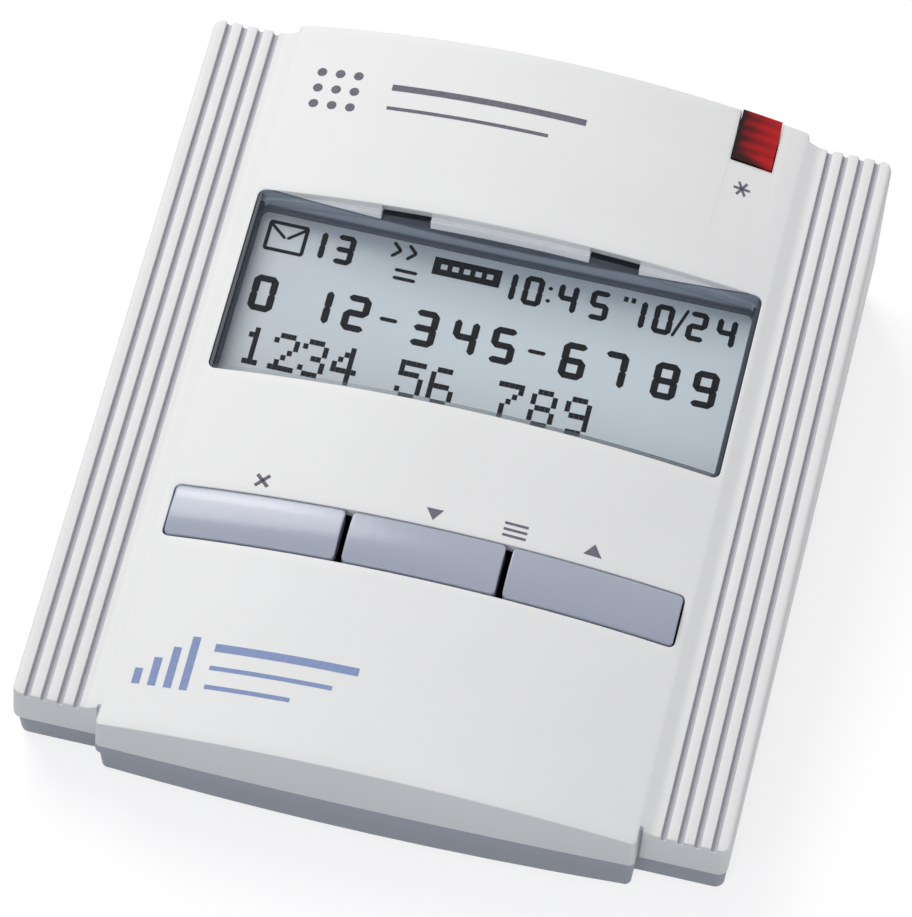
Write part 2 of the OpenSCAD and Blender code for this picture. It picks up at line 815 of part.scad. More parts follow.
// Hollow rubber dome that pushes its key up
module dome(i) {
  foot_r = dome_d / 2;
  foot_t = 0.6;
  top_r = key_stem_d / 2 + 0.6;
  skin = 0.7;
  pill_r = 1.5;
  pill_gap = key_travel + 0.5;
  color([0.5, 0.5, 0.52]) on_slope() translate([key_x(i), key_mid, board_top]) rotate_extrude() polygon([
    [foot_r, 0], [foot_r, foot_t], [foot_r - 1, foot_t], [top_r, dome_h - 1], [top_r, dome_h], [0, dome_h],
    [0, pill_gap], [pill_r, pill_gap], [pill_r, dome_h - 1.2], [top_r - skin, dome_h - 1.2],
    [foot_r - 1 - skin, foot_t], [foot_r - 1 - skin, 0]
  ]);
}

module erase_dome() { dome(0); }
module scroll_down_dome() { dome(1); }
module scroll_up_dome() { dome(2); }

// Space of the red lens in the top housing's rear edge
module call_light_space(clear) {
  w = lens_w + 2 * clear;
  translate([lens_x - w / 2, rear_y - lens_l - clear, lens_low_z()]) {
    cube([w, far, far]);
  }
}

function lens_low_z() = wing_front_z + (rear_y - wing_front_y) * tan(top_slope) + deck_step - lens_drop;

module lens_body(shrink) {
  intersection() {
    translate([lens_x - lens_w / 2 + shrink, rear_y - lens_l + shrink, lens_low_z() - (shrink > 0 ? 1 : 0)]) {
      cube([lens_w - 2 * shrink, lens_l - (shrink > 0 ? 2 * shrink : 0), far / 4]);
    }
    on_slope() under_crown(lens_proud - shrink);
  }
}

module call_light_lens() {
  color([0.7, 0.08, 0.1]) difference() {
    lens_body(0);
    translate([lens_x - far / 2, rear_y - far - lens_t, lens_low_z() - far]) {
      cube([far, far, far + wing_gap_z()]);
    }
    lens_body(lens_t * 0.7);
  }
}

// Height of the lens's top plate over its lower edge, at the front of the lens
function wing_gap_z() = lens_drop - lens_l * tan(top_slope) - 0.6;

// Wire legs of the lamp
lamp_leg_d = 0.5;
lamp_leg_x = 0.9;

module call_light_lamp() {
  collar_h = 1;
  base = board_top + 3;
  color([0.8, 0.2, 0.2]) on_slope() translate([lens_x, lamp_at, 0]) {
    translate([0, 0, base]) {
      cylinder(d = lamp_d + 0.8, h = collar_h);
      cylinder(d = lamp_d, h = lamp_h - lamp_d / 2);
      translate([0, 0, lamp_h - lamp_d / 2]) sphere(d = lamp_d);
    }
    for (side = [-1, 1]) translate([side * lamp_leg_x, 0, board_base - 0.6]) {
      cylinder(d = lamp_leg_d, h = base - board_base + 0.6 + eps);
    }
  }
}

module display_board() {
  color([0.18, 0.36, 0.22]) on_slope() difference() {
    union() {
      slope_box(board_w, board_end - board_at, board_at, board_base, board_top, 1);
      translate([lens_x, 0, 0]) {
        slope_box(tongue_board_w, tongue_board_end - board_end + 2, board_end - 2, board_base, board_top);
      }
    }
    for (p = board_screw_places) translate([p[0], p[1], board_base - 1]) {
      cylinder(d = board_screw_d + 2 * slip, h = board_t + 2);
    }
    for (side = [-1, 1]) translate([lens_x + side * lamp_leg_x, lamp_at, board_base - 1]) {
      cylinder(d = lamp_leg_d + 2 * touch, h = board_t + 2);
    }
  }
}

// Flat package with legs on all four sides, hanging under the display board
module controller_chip() {
  body = 13;
  body_t = 2.2;
  legs = 10;
  leg_pitch = 1.2;
  leg_w = 0.5;
  leg_l = 1.3;
  at = [-16, key_at + key_l + 8];
  color([0.1, 0.1, 0.11]) on_slope() translate([at[0], at[1], board_base]) {
    translate([0, 0, -body_t - 0.3]) linear_extrude(body_t) square(body, center = true);
    for (turn = [0 : 90 : 270], i = [0 : legs - 1]) rotate(turn) {
      translate([body / 2 - eps, (i - (legs - 1) / 2) * leg_pitch - leg_w / 2, -1.2]) {
        cube([leg_l, leg_w, 0.3]);
        translate([leg_l - 0.3, 0, 0]) cube([0.3, leg_w, 1.2]);
      }
    }
  }
}

module clock_crystal() {
  can = [10.5, 3.6, 3.6];
  color([0.75, 0.76, 0.78]) on_slope() translate([4, key_at + key_l + 4, board_base - can[2]]) {
    linear_extrude(can[2]) round_rect([0, 0], [can[0], can[1]], 1.7);
    translate([0, 0, can[2] - 0.5]) linear_extrude(0.5) round_rect([-0.5, -0.5], [can[0] + 0.5, can[1] + 0.5], 2);
  }
}

module line_board() {
  color([0.55, 0.42, 0.22]) difference() {
    translate([line_x0, line_y0, line_board_z]) cube([line_x1 - line_x0, line_y1 - line_y0, board_t]);
    for (p = line_screw_places) translate([p[0], p[1], line_board_z - 1]) {
      cylinder(d = board_screw_d + 2 * slip, h = board_t + 2);
    }
  }
}

// Dual in-line package: body with a leg row on each long side
module decoder_chip() {
  legs = 9;
  leg_pitch = 2.05;
  leg_w = 0.6;
  color([0.1, 0.1, 0.11]) translate([decoder_at[0], decoder_at[1], line_top]) {
    translate([0, 0, 0.5]) cube(decoder_size);
    for (i = [0 : legs - 1]) translate([0, decoder_size[1] / 2 + (i - (legs - 1) / 2) * leg_pitch - leg_w / 2, 0]) {
      translate([-0.6, 0, 0]) cube([0.3, leg_w, 2]);
      translate([-0.6, 0, 1.7]) cube([0.7, leg_w, 0.3]);
      translate([decoder_size[0] + 0.3, 0, 0]) cube([0.3, leg_w, 2]);
      translate([decoder_size[0] - 0.1, 0, 1.7]) cube([0.7, leg_w, 0.3]);
    }
  }
}

// Isolating transformer: laminated core round a wound bobbin
module line_transformer() {
  s = transformer_size;
  core = 3;
  slot = 2.2;
  color([0.5, 0.42, 0.3]) translate([transformer_at[0], transformer_at[1], line_top]) {
    difference() {
      translate([0, s[1] * 0.2, 1]) cube([s[0], s[1] * 0.6, s[2] - 1]);
      for (x = [core, s[0] - core - slot]) translate([x, -1, 1 + core]) {
        cube([slot, s[1] + 2, s[2] - 1 - 2 * core]);
      }
    }
    translate([core, 0, 0]) cube([s[0] - 2 * core, s[1], 1 + core]);
    translate([core + slot, 0, core]) cube([s[0] - 2 * core - 2 * slot, s[1], s[2] - 2 * core]);
  }
}

module capacitors() {
  can_d = 6.3;
  can_h = 8;
  can_pitch = can_d + 1.7;
  can_back = 10;
  film = [9.4, 4.6, 8];
  color([0.15, 0.17, 0.3]) {
    for (i = [0, 1]) translate([line_x1 - 5 - i * can_pitch, line_y0 + can_back, line_top]) {
      cylinder(d = can_d, h = can_h - 0.5);
      translate([0, 0, can_h - 0.5]) cylinder(d1 = can_d, d2 = can_d - 1, h = 0.5);
    }
    translate([socket_x + socket_w / 2 + 0.8, line_y0 + 0.8, line_top]) cube(film);
  }
}

// Middle of the cell whose outer contact takes each lead
function positive_cell_y() = bay_y + slip + cell_pitch / 2;
function negative_cell_y() = bay_y + slip + cell_pitch * (cell_count - 0.5);

// A lead is joined to the flat foot of its cell's contact
function lead_y(cell_y) = cell_y - 0.85 * (cell_d / 2 - 1);

module battery_cells() {
  nub_d = 3.8;
  nub_h = 0.8;
  color([0.35, 0.36, 0.38]) for (i = [0 : cell_count - 1]) {
    turn = i % 2 == 0 ? 0 : 180;
    translate([bay_x0 + bay_w / 2, positive_cell_y() + i * cell_pitch, cell_z]) rotate([0, 90, turn]) {
      translate([0, 0, -cell_l / 2]) cylinder(d = cell_d, h = cell_l - nub_h);
      translate([0, 0, cell_l / 2 - nub_h]) cylinder(d = nub_d, h = nub_h);
    }
  }
}

// Bent strip: flat feet on the bay's wall and a raised middle that presses on the cell
module contact_spring() {
  rise = contact_room - contact_t - touch;
  half = cell_d / 2 - 1;
  translate([0, 0, cell_z - contact_h / 2]) linear_extrude(contact_h) polygon([
    [0, -half], [0, -half * 0.7], [rise, -1], [rise, 1], [0, half * 0.7], [0, half],
    [contact_t, half], [contact_t, half * 0.7 + 0.2], [rise + contact_t, 1.2],
    [rise + contact_t, -1.2], [contact_t, -half * 0.7 - 0.2], [contact_t, -half]
  ]);
}

// Strip that joins the contacts of two neighbouring cells
module contact_link(y) {
  translate([0, y + cell_d / 2 - 1 - eps, cell_z - contact_h / 2]) {
    cube([contact_t, cell_pitch - cell_d + 2 + 2 * eps, contact_h]);
  }
}

module left_battery_contacts() {
  color([0.8, 0.8, 0.78]) translate([bay_x0, 0, 0]) {
    for (i = [0 : cell_count - 1]) translate([0, positive_cell_y() + i * cell_pitch, 0]) contact_spring();
    contact_link(positive_cell_y());
    translate([0, lead_y(negative_cell_y()) - 0.6, cell_z + contact_h / 2 - eps]) {
      cube([contact_t, 1.2, bay_top - cell_z - contact_h / 2 - 0.4]);
    }
  }
}

module right_battery_contacts() {
  color([0.8, 0.8, 0.78]) translate([bay_x1, 0, 0]) mirror([1, 0, 0]) {
    for (i = [0 : cell_count - 1]) translate([0, positive_cell_y() + i * cell_pitch, 0]) contact_spring();
    contact_link(positive_cell_y() + cell_pitch);
  }
}

// Insulated wire through a list of points, with ball joints at its bends
module wire(points, d) {
  for (i = [0 : len(points) - 2]) {
    run = points[i + 1] - points[i];
    length = norm(run);
    translate(points[i]) rotate([0, acos(run[2] / length), atan2(run[1], run[0])]) cylinder(d = d, h = length);
  }
  for (i = [1 : len(points) - 2]) translate(points[i]) sphere(d = d);
}

lead_d = 1.2;

module positive_lead() {
  y = lead_y(positive_cell_y());
  out_x = bay_x1 + bay_wall + lead_d;
  color([0.75, 0.1, 0.1]) wire([[bay_x1, y, cell_z + 2.2], [out_x, y, cell_z + 2.2], [out_x, y, line_top]], lead_d);
}

module negative_lead() {
  y = lead_y(negative_cell_y());
  top_z = bay_roof_z + lead_d / 2;
  from_x = bay_x0 + contact_t + lead_d / 2;
  over_x = bay_x1 + bay_wall + lead_d;
  color([0.1, 0.1, 0.1]) wire([
    [from_x, y, bay_top - 1.2], [from_x, y, top_z], [over_x, y, top_z], [over_x, y, line_top]
  ], lead_d);
}

// Sockets at both ends of the ribbon
module ribbon_sockets() {
  color([0.9, 0.89, 0.84]) {
    translate([socket_x - socket_w / 2, socket_y, line_top]) cube([socket_w, socket_l, socket_h]);
    on_slope() translate([socket_x, 0, 0]) {
      slope_box(socket_w, socket_l, ribbon_slope_y(), board_base - socket_h, board_base);
    }
  }
}

// Place up the slope of the upper socket, over the lower one
function ribbon_slope_y() =
  (socket_y - wing_front_y + (board_base - socket_h / 2) * sin(top_slope)) / cos(top_slope);

// Flat ribbon that folds once between the sockets
module ribbon_cable() {
  ribbon_w = 12.5;
  ribbon_t = 0.9;
  low_z = line_top + socket_h / 2;
  high_z = wing_front_z + (socket_y - wing_front_y) * tan(top_slope) + (board_base - socket_h / 2) / cos(top_slope);
  fold_r = (high_z - low_z) / 2;
  straight = 4;
  color([0.6, 0.62, 0.65]) translate([socket_x - ribbon_w / 2, 0, 0]) {
    translate([0, socket_y - straight, low_z - ribbon_t / 2]) cube([ribbon_w, straight, ribbon_t]);
    translate([0, socket_y - straight, high_z - ribbon_t / 2]) {
      cube([ribbon_w, straight - ribbon_t / 2 * tan(top_slope), ribbon_t]);
    }
    translate([0, socket_y - straight, low_z + fold_r]) rotate([90, 0, 90]) linear_extrude(ribbon_w) {
      intersection() {
        difference() {
          circle(fold_r + ribbon_t / 2);
          circle(fold_r - ribbon_t / 2);
        }
        translate([-far, -far / 2]) square([far, far]);
      }
    }
  }
}

// Modular jack: a block with a plug space, a latch notch and a slot behind for the wires
module jack(x) {
  latch_w = 6.2;
  latch_h = 2;
  color([0.16, 0.16, 0.17]) translate([x, 0, 0]) difference() {
    translate([-jack_w / 2, jack_back_y, line_top]) cube([jack_w, jack_d, jack_h]);
    translate([-plug_w / 2, jack_face_y - plug_d, plug_z]) cube([plug_w, plug_d + 1, plug_h]);
    translate([-latch_w / 2, jack_face_y - plug_d, plug_z]) cube([latch_w, plug_d + 1, plug_h + latch_h]);
  }
}

module line_jack() { jack(jack_places[0]); }
module phone_jack() { jack(jack_places[1]); }

// Spring wires that rise from the plug space's floor towards its back
module jack_contacts(x) {
  wire_t = 0.45;
  front_y = jack_face_y - 2;
  bend_y = front_y - 1.5;
  back_y = jack_face_y - plug_d + 0.4;
  rise = 2.2;
  color([0.85, 0.68, 0.3]) for (i = [0 : contact_count - 1]) {
    wx = x + (i - (contact_count - 1) / 2) * contact_pitch;
    along_x(wx - wire_t / 2, wx + wire_t / 2) polygon([
      [front_y, plug_z], [bend_y, plug_z], [back_y, plug_z + rise],
      [back_y, plug_z + rise + wire_t], [bend_y, plug_z + wire_t], [front_y, plug_z + wire_t]
    ]);
  }
}

module line_jack_contacts() { jack_contacts(jack_places[0]); }
module phone_jack_contacts() { jack_contacts(jack_places[1]); }

top_housing();
bottom_housing();
battery_door();
rubber_feet();
case_screws();
display_window();
display_bezel();
display_glass();
display_reflector();
connector_strips();
erase_key();
scroll_down_key();
scroll_up_key();
erase_dome();
scroll_down_dome();
scroll_up_dome();
call_light_lens();
call_light_lamp();
display_board();
controller_chip();
clock_crystal();
display_board_screws();
line_board();
decoder_chip();
line_transformer();
capacitors();
line_board_screws();
ribbon_cable();
ribbon_sockets();
line_jack();
phone_jack();
line_jack_contacts();
phone_jack_contacts();
battery_cells();
left_battery_contacts();
right_battery_contacts();
positive_lead();
negative_lead();
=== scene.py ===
import math
import bpy
from mathutils import Matrix, Vector


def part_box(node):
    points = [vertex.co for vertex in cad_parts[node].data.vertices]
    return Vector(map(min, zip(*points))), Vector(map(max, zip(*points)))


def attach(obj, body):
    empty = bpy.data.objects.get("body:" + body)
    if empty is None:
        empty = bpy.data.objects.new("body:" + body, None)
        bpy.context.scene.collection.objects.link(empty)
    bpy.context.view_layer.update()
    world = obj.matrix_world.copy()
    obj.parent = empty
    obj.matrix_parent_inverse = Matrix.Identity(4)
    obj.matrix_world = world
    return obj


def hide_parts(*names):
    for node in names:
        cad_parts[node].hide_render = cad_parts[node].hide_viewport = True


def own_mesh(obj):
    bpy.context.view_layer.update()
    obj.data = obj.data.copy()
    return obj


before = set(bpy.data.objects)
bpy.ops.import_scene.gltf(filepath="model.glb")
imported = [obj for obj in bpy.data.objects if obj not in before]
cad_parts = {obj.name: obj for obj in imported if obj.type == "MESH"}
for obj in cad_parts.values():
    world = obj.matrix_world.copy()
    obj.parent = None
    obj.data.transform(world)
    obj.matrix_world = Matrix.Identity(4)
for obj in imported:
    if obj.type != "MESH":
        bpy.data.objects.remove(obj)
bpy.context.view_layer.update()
print("frame loaded,", len(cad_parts), "nodes")

mm = 0.001
slope = {"angle": math.radians(8), "frontY": -58.05, "frontZ": 15.5}  # frame of the sloping top, in mm
deck = {"halfWidth": 40.2, "step": 1.3, "crown": 4.5}  # arc of the crowned deck, in mm
crownRadius = (deck["halfWidth"] ** 2 + deck["crown"] ** 2) / (2 * deck["crown"])
crownAxis = deck["step"] + deck["crown"] - crownRadius
slopeFrame = Matrix.Translation((0, slope["frontY"] * mm, slope["frontZ"] * mm)) @ Matrix.Rotation(slope["angle"], 4, "X")


def onSlope(x, y, z):  # a point given in mm across, up and off the slope
    return slopeFrame @ Vector((x * mm, y * mm, z * mm))


def deckHeight(x):
    return crownAxis + math.sqrt(crownRadius ** 2 - x ** 2)


cameraSpec = {"target": (-0.36, -0.045, 16.0), "distance": 903.951, "azimuth": 8.649, "elevation": 53.935,
              "roll": 5.426, "lens": 234.33, "sensor": 36, "clip": (0.01, 20)}  # mm and degrees, clip in metres


def addCamera(spec):
    a, e = math.radians(spec["azimuth"]), math.radians(spec["elevation"])
    back = Vector((math.sin(a) * math.cos(e), -math.cos(a) * math.cos(e), math.sin(e)))
    data = bpy.data.cameras.new("camera")
    data.lens, data.sensor_width = spec["lens"], spec["sensor"]
    data.clip_start, data.clip_end = spec["clip"]
    camera = bpy.data.objects.new("camera", data)
    bpy.context.scene.collection.objects.link(camera)
    camera.rotation_mode = "QUATERNION"
    camera.location = (Vector(spec["target"]) + back * spec["distance"]) * mm
    turn = Matrix.Rotation(math.radians(spec["roll"]), 3, "Z").to_quaternion()
    camera.rotation_quaternion = (-back).to_track_quat("-Z", "Y") @ turn
    bpy.context.scene.camera = camera


addCamera(cameraSpec)
bpy.context.scene.view_settings.view_transform = "Standard"
print("camera set")


# a shader socket that can be added, multiplied and compared
class Wire:
    def __init__(self, tree, socket):
        self.tree = tree
        self.socket = socket

    def work(self, operation, left, right):
        return addNode(self.tree, "ShaderNodeMath", {"operation": operation}, {0: left, 1: right})

    def __add__(self, other): return self.work("ADD", self, other)
    def __radd__(self, other): return self.work("ADD", other, self)
    def __sub__(self, other): return self.work("SUBTRACT", self, other)
    def __rsub__(self, other): return self.work("SUBTRACT", other, self)
    def __mul__(self, other): return self.work("MULTIPLY", self, other)
    def __rmul__(self, other): return self.work("MULTIPLY", other, self)
    def __pow__(self, other): return self.work("POWER", self, other)
    def __gt__(self, other): return self.work("GREATER_THAN", self, other)
    def __lt__(self, other): return self.work("LESS_THAN", self, other)


def addNode(tree, kind, settings=None, inputs=None, output=0):
    node = tree.nodes.new(kind)
    for key, value in (settings or {}).items():
        if key == "stops":
            elements = node.color_ramp.elements
            elements.remove(elements[1])
            for i, (place, colour) in enumerate(value):
                stop = elements[0] if i == 0 else elements.new(place)
                stop.position, stop.color = place, colour
        else:
            setattr(node, key, value)
    for key, value in (inputs or {}).items():
        if isinstance(value, Wire):
            tree.links.new(value.socket, node.inputs[key])
        else:
            node.inputs[key].default_value = value
    return Wire(tree, node.outputs[output]) if len(node.outputs) else None


def tint(r, g, b):  # a colour given as it looks on screen, 0 to 255
    return tuple(((c / 255 + 0.055) / 1.055) ** 2.4 if c > 10 else c / 255 / 12.92 for c in (r, g, b)) + (1,)


def newFinish(name, **constants):
    finish = bpy.data.materials.new(name)
    finish.use_nodes = True
    tree = finish.node_tree
    shader = tree.nodes["Principled BSDF"]
    for key, value in constants.items():
        shader.inputs[key.replace("_", " ")].default_value = value
    place = addNode(tree, "ShaderNodeTexCoord", output="Object")
    return finish, tree, shader, place


def feed(tree, shader, socket, wire):
    tree.links.new(wire.socket, shader.inputs[socket])


def noiseOf(tree, place, scale, detail=2.0, stretch=None):
    if stretch:
        place = addNode(tree, "ShaderNodeMapping", inputs={"Vector": place, "Scale": stretch})
    return addNode(tree, "ShaderNodeTexNoise", inputs={"Vector": place, "Scale": scale, "Detail": detail})


def mixColours(tree, factor, first, second):
    return addNode(tree, "ShaderNodeMix", {"data_type": "RGBA"}, {"Factor": factor, 6: first, 7: second}, 2)


def ramp(tree, value, start, end, low=0.0, high=1.0):  # low at start, high at end
    return addNode(tree, "ShaderNodeMapRange", inputs={"Value": value, "From Min": start, "From Max": end,
                                                       "To Min": low, "To Max": high})


def highest(tree, first, second):
    return addNode(tree, "ShaderNodeMath", {"operation": "MAXIMUM"}, {0: first, 1: second})


def between(value, low, high):
    return (value > low) * (value < high)


def axesOf(tree, place):
    x = addNode(tree, "ShaderNodeSeparateXYZ", inputs={0: place})
    return [Wire(tree, socket) for socket in x.socket.node.outputs]


def slopePlace(tree, place):  # distance from the middle, way up the slope and height off it
    front = (0, slope["frontY"] * mm, slope["frontZ"] * mm)
    turned = addNode(tree, "ShaderNodeMapping", {"vector_type": "TEXTURE"},
                     {"Vector": place, "Location": front, "Rotation": (slope["angle"], 0, 0)})
    x, y, z = axesOf(tree, turned)
    return addNode(tree, "ShaderNodeMath", {"operation": "ABSOLUTE"}, {0: x}), y, z


def crownDepth(side, height):  # how far a point lies below the crown
    above = height - crownAxis * mm
    return crownRadius * mm - (side * side + above * above) ** 0.5


grooves = {"inner": 43.2 * mm, "outer": 52.5 * mm, "front": 0.05 * mm, "rear": 120.1 * mm, "bottom": -1.2 * mm,
           "lip": -0.08 * mm, "deep": -0.62 * mm}


def grooveShade(tree, side, up, height):  # painted shade: rises to 1 down in the grooves of the wings, 0 elsewhere
    inside = between(side, grooves["inner"], grooves["outer"]) * between(up, grooves["front"], grooves["rear"])
    return inside * (height > grooves["bottom"]) * ramp(tree, height, grooves["lip"], grooves["deep"])


corners = {"inner": 40.4 * mm, "outer": 41.0 * mm, "end": 0.6 * mm, "pale": -3.4 * mm, "dark": -0.6 * mm}


def cornerShade(tree, side, up):  # painted shade: rises to 1 in the corners where the nose stands out past the wings
    inside = between(side, corners["inner"], corners["outer"]) * (up < corners["end"])
    return inside * ramp(tree, up, corners["pale"], corners["dark"])


footShadeBand = {"front": -58.5 * mm, "top": 11.7 * mm, "arch": 0.625}


def footShade(tree, place):  # painted shade: 1 on the arched band along the foot of the nose, 0 elsewhere
    x, y, z = axesOf(tree, place)
    return (y < footShadeBand["front"]) * (z < footShadeBand["top"] - x * x * footShadeBand["arch"])


window = {"inner": 38.1 * mm, "outer": 39.7 * mm, "front": 58.6 * mm, "rear": 90.9 * mm, "lip": 0.2 * mm, "deep": 6.0 * mm}


def windowShade(side, up, height):  # painted shade: 1 on the window's side walls, 0 elsewhere
    inside = between(side, window["inner"], window["outer"]) * between(up, window["front"], window["rear"])
    return inside * between(crownDepth(side, height), window["lip"], window["deep"])


ledge = {"side": 38.1 * mm, "front": 89.9 * mm, "rear": 91.2 * mm, "lip": 1.4 * mm}


def ledgeShade(side, up, height):  # painted light: 1 on the ledge and rim behind the display, 0 elsewhere
    inside = (side < ledge["side"]) * between(up, ledge["front"], ledge["rear"])
    return inside * (crownDepth(side, height) > ledge["lip"])


# the rim behind the display ends on a line that leans back and rises to the sides, and the wall below it is dark:
# partly the bezel's dark colour, partly painted shade
rail = {"side": 39.6 * mm, "front": 89.9 * mm, "rear": 93.6 * mm, "lip": 0.12 * mm, "base": 90.0 * mm, "shadeLean": 1.87, "bow": 1.8,
        "top": 1.5 * mm, "topEnd": 0.8 * mm, "foot": -1.8 * mm, "footEnd": -1.0 * mm}


def railLevel(side, up, height):  # height against that line
    return height + (up - rail["base"]) * rail["shadeLean"] - side * side * rail["bow"]


def wallShade(side, up, height):  # 1 on the dark wall (bezel colour and painted shade), 0 elsewhere
    inside = (side < rail["side"]) * between(up, rail["front"], rail["rear"]) * (crownDepth(side, height) > rail["lip"])
    return inside * (railLevel(side, up, height) < rail["top"])


def railShade(tree, side, up, height):  # painted shade: 1 along the top and the foot of the dark wall, 0 between them
    top = ramp(tree, railLevel(side, up, height), rail["topEnd"], rail["top"])
    return highest(tree, top, ramp(tree, height, rail["foot"], rail["footEnd"], 1.0, 0.0))


mould = {"gloss": 0.5, "rough": 0.4, "roughSpread": 0.12, "mottle": 45, "grain": 2600, "bump": 0.12, "bumpDepth": 0.05 * mm,
         "edge": 0.25 * mm}  # what every moulded finish has unless it says otherwise


def mouldedPlastic(name, **own):
    spec = {**mould, **own}
    finish, tree, shader, place = newFinish(name, Specular_IOR_Level=spec["gloss"])
    colour = mixColours(tree, noiseOf(tree, place, spec["mottle"], 3), spec["dark"], spec["light"])
    # painted shade in the grooves, window walls, corners, nose foot and on the dark wall; painted light on the ledge
    if "groove" in spec:
        spot = slopePlace(tree, place)
        colour = mixColours(tree, grooveShade(tree, *spot), colour, spec["groove"])
        colour = mixColours(tree, windowShade(*spot), colour, spec["window"])
        colour = mixColours(tree, cornerShade(tree, *spot[:2]), colour, spec["corner"])
        colour = mixColours(tree, footShade(tree, place), colour, spec["foot"])
        colour = mixColours(tree, ledgeShade(*spot), colour, spec["ledge"])
        wall = mixColours(tree, railShade(tree, *spot), spec["wall"], spec["wallRail"])
        colour = mixColours(tree, wallShade(*spot), colour, wall)
    # painted shade along the top and the foot of the bezel's wall
    if "rail" in spec:
        colour = mixColours(tree, railShade(tree, *slopePlace(tree, place)), colour, spec["rail"])
    feed(tree, shader, "Base Color", colour)
    grain = noiseOf(tree, place, spec["grain"])
    feed(tree, shader, "Roughness", grain * spec["roughSpread"] + spec["rough"])
    rounded = addNode(tree, "ShaderNodeBevel", {"samples": 6}, {"Radius": spec["edge"]})
    bump = addNode(tree, "ShaderNodeBump", inputs={"Height": grain, "Strength": spec["bump"], "Distance": spec["bumpDepth"],
                                                   "Normal": rounded})
    feed(tree, shader, "Normal", bump)
    return finish


finishes = {
    # the housing's groove, window, corner and foot tints and its dark wall are painted shade, the dark wall partly the
    # bezel's colour too; its white ledge tint is painted light
    "housing": mouldedPlastic("off_white_plastic", dark=tint(233, 233, 231), light=tint(241, 241, 239), edge=0.15 * mm, gloss=0.3,
                              groove=tint(193, 191, 197), window=tint(52, 57, 68), corner=tint(170, 170, 178),
                              foot=tint(168, 172, 181), ledge=tint(255, 255, 255),
                              wall=tint(151, 160, 173), wallRail=tint(80, 86, 98)),
    # the tray's grey is partly its own colour and partly painted shade for its raked faces
    "tray": mouldedPlastic("grey_plastic_with_painted_shade", dark=tint(168, 172, 181), light=tint(176, 180, 188), edge=0.15 * mm, gloss=0.1),
    "keys": mouldedPlastic("lavender_grey_plastic", dark=tint(163, 169, 185), light=tint(171, 176, 192), rough=0.16, gloss=0.6),
    # the slate's rail tint is painted shade
    "slate": mouldedPlastic("slate_plastic", dark=tint(146, 155, 168), light=tint(156, 165, 178), rail=tint(80, 86, 98)),
    "black": mouldedPlastic("black_plastic", dark=tint(30, 30, 32), light=tint(38, 38, 41)),
    "ivory": mouldedPlastic("ivory_plastic", dark=tint(226, 221, 200), light=tint(234, 230, 212)),
    "rubber": mouldedPlastic("black_rubber", dark=tint(26, 26, 27), light=tint(36, 36, 38), rough=0.7),
    "dome": mouldedPlastic("grey_silicone", dark=tint(150, 151, 155), light=tint(162, 163, 167), rough=0.55),
    "cells": mouldedPlastic("cell_sleeve", dark=tint(88, 90, 96), light=tint(98, 100, 106), rough=0.3),
    "greenBoard": mouldedPlastic("green_board", dark=tint(28, 84, 50), light=tint(38, 100, 60), rough=0.35),
    "tanBoard": mouldedPlastic("tan_board", dark=tint(160, 120, 72), light=tint(176, 136, 86)),
    "redWire": mouldedPlastic("red_insulation", dark=tint(160, 28, 26), light=tint(176, 36, 32)),
    "sleeve": mouldedPlastic("blue_sleeve", dark=tint(40, 46, 92), light=tint(48, 56, 106), rough=0.25),
    "ribbon": mouldedPlastic("grey_ribbon", dark=tint(158, 160, 166), light=tint(172, 174, 180)),
    "winding": mouldedPlastic("varnished_winding", dark=tint(110, 82, 52), light=tint(134, 102, 66)),
    "strip": mouldedPlastic("striped_elastomer", dark=tint(196, 110, 124), light=tint(214, 136, 146), rough=0.5),
    "lamp": mouldedPlastic("red_epoxy", dark=tint(170, 30, 30), light=tint(190, 44, 42), rough=0.15),
}

metal = {"dull": 0.82, "spread": 0.2, "streak": 900, "stretch": (1, 8, 8)}


def plainMetal(name, colour, rough, streak=metal["streak"]):
    finish, tree, shader, place = newFinish(name, Metallic=1.0)
    wear = noiseOf(tree, place, streak, 3, metal["stretch"])
    dull = tuple(c * metal["dull"] for c in colour[:3]) + (1,)
    feed(tree, shader, "Base Color", mixColours(tree, wear, dull, colour))
    feed(tree, shader, "Roughness", wear * metal["spread"] + rough)
    return finish


finishes["steel"] = plainMetal("zinc_steel", tint(198, 200, 204), 0.22)
finishes["brass"] = plainMetal("gold_plate", tint(222, 184, 96), 0.18)
finishes["film"] = plainMetal("reflector_film", tint(205, 210, 208), 0.4, 1500)

glass = {"rough": 0.22, "cloud": 30, "spread": 0.12, "shadeLean": 10.0,
         "shadedGrey": [(0.0, tint(192, 199, 205)), (0.55, tint(206, 217, 223)), (1.0, tint(207, 219, 227))]}


def displayGlass(name):
    finish, tree, shader, place = newFinish(name, Roughness=glass["rough"])
    cloud = noiseOf(tree, place, glass["cloud"])
    across = axesOf(tree, place)[0]
    shadeLean = across * glass["shadeLean"] + 0.5  # painted shade: the display is a little darker towards one side
    shadedGrey = addNode(tree, "ShaderNodeValToRGB", {"stops": glass["shadedGrey"]}, {"Fac": shadeLean + cloud * glass["spread"]})
    feed(tree, shader, "Base Color", shadedGrey)
    return finish


pane = {"rough": 0.3, "gloss": 0.2, "haze": 40, "front": 59.65 * mm, "slant": 8, "side": 38.85 * mm, "sideShare": 0.8,
        "dark": tint(120, 130, 140), "light": tint(136, 146, 156), "border": tint(56, 60, 72), "solid": 0.95, "clear": 0.03}


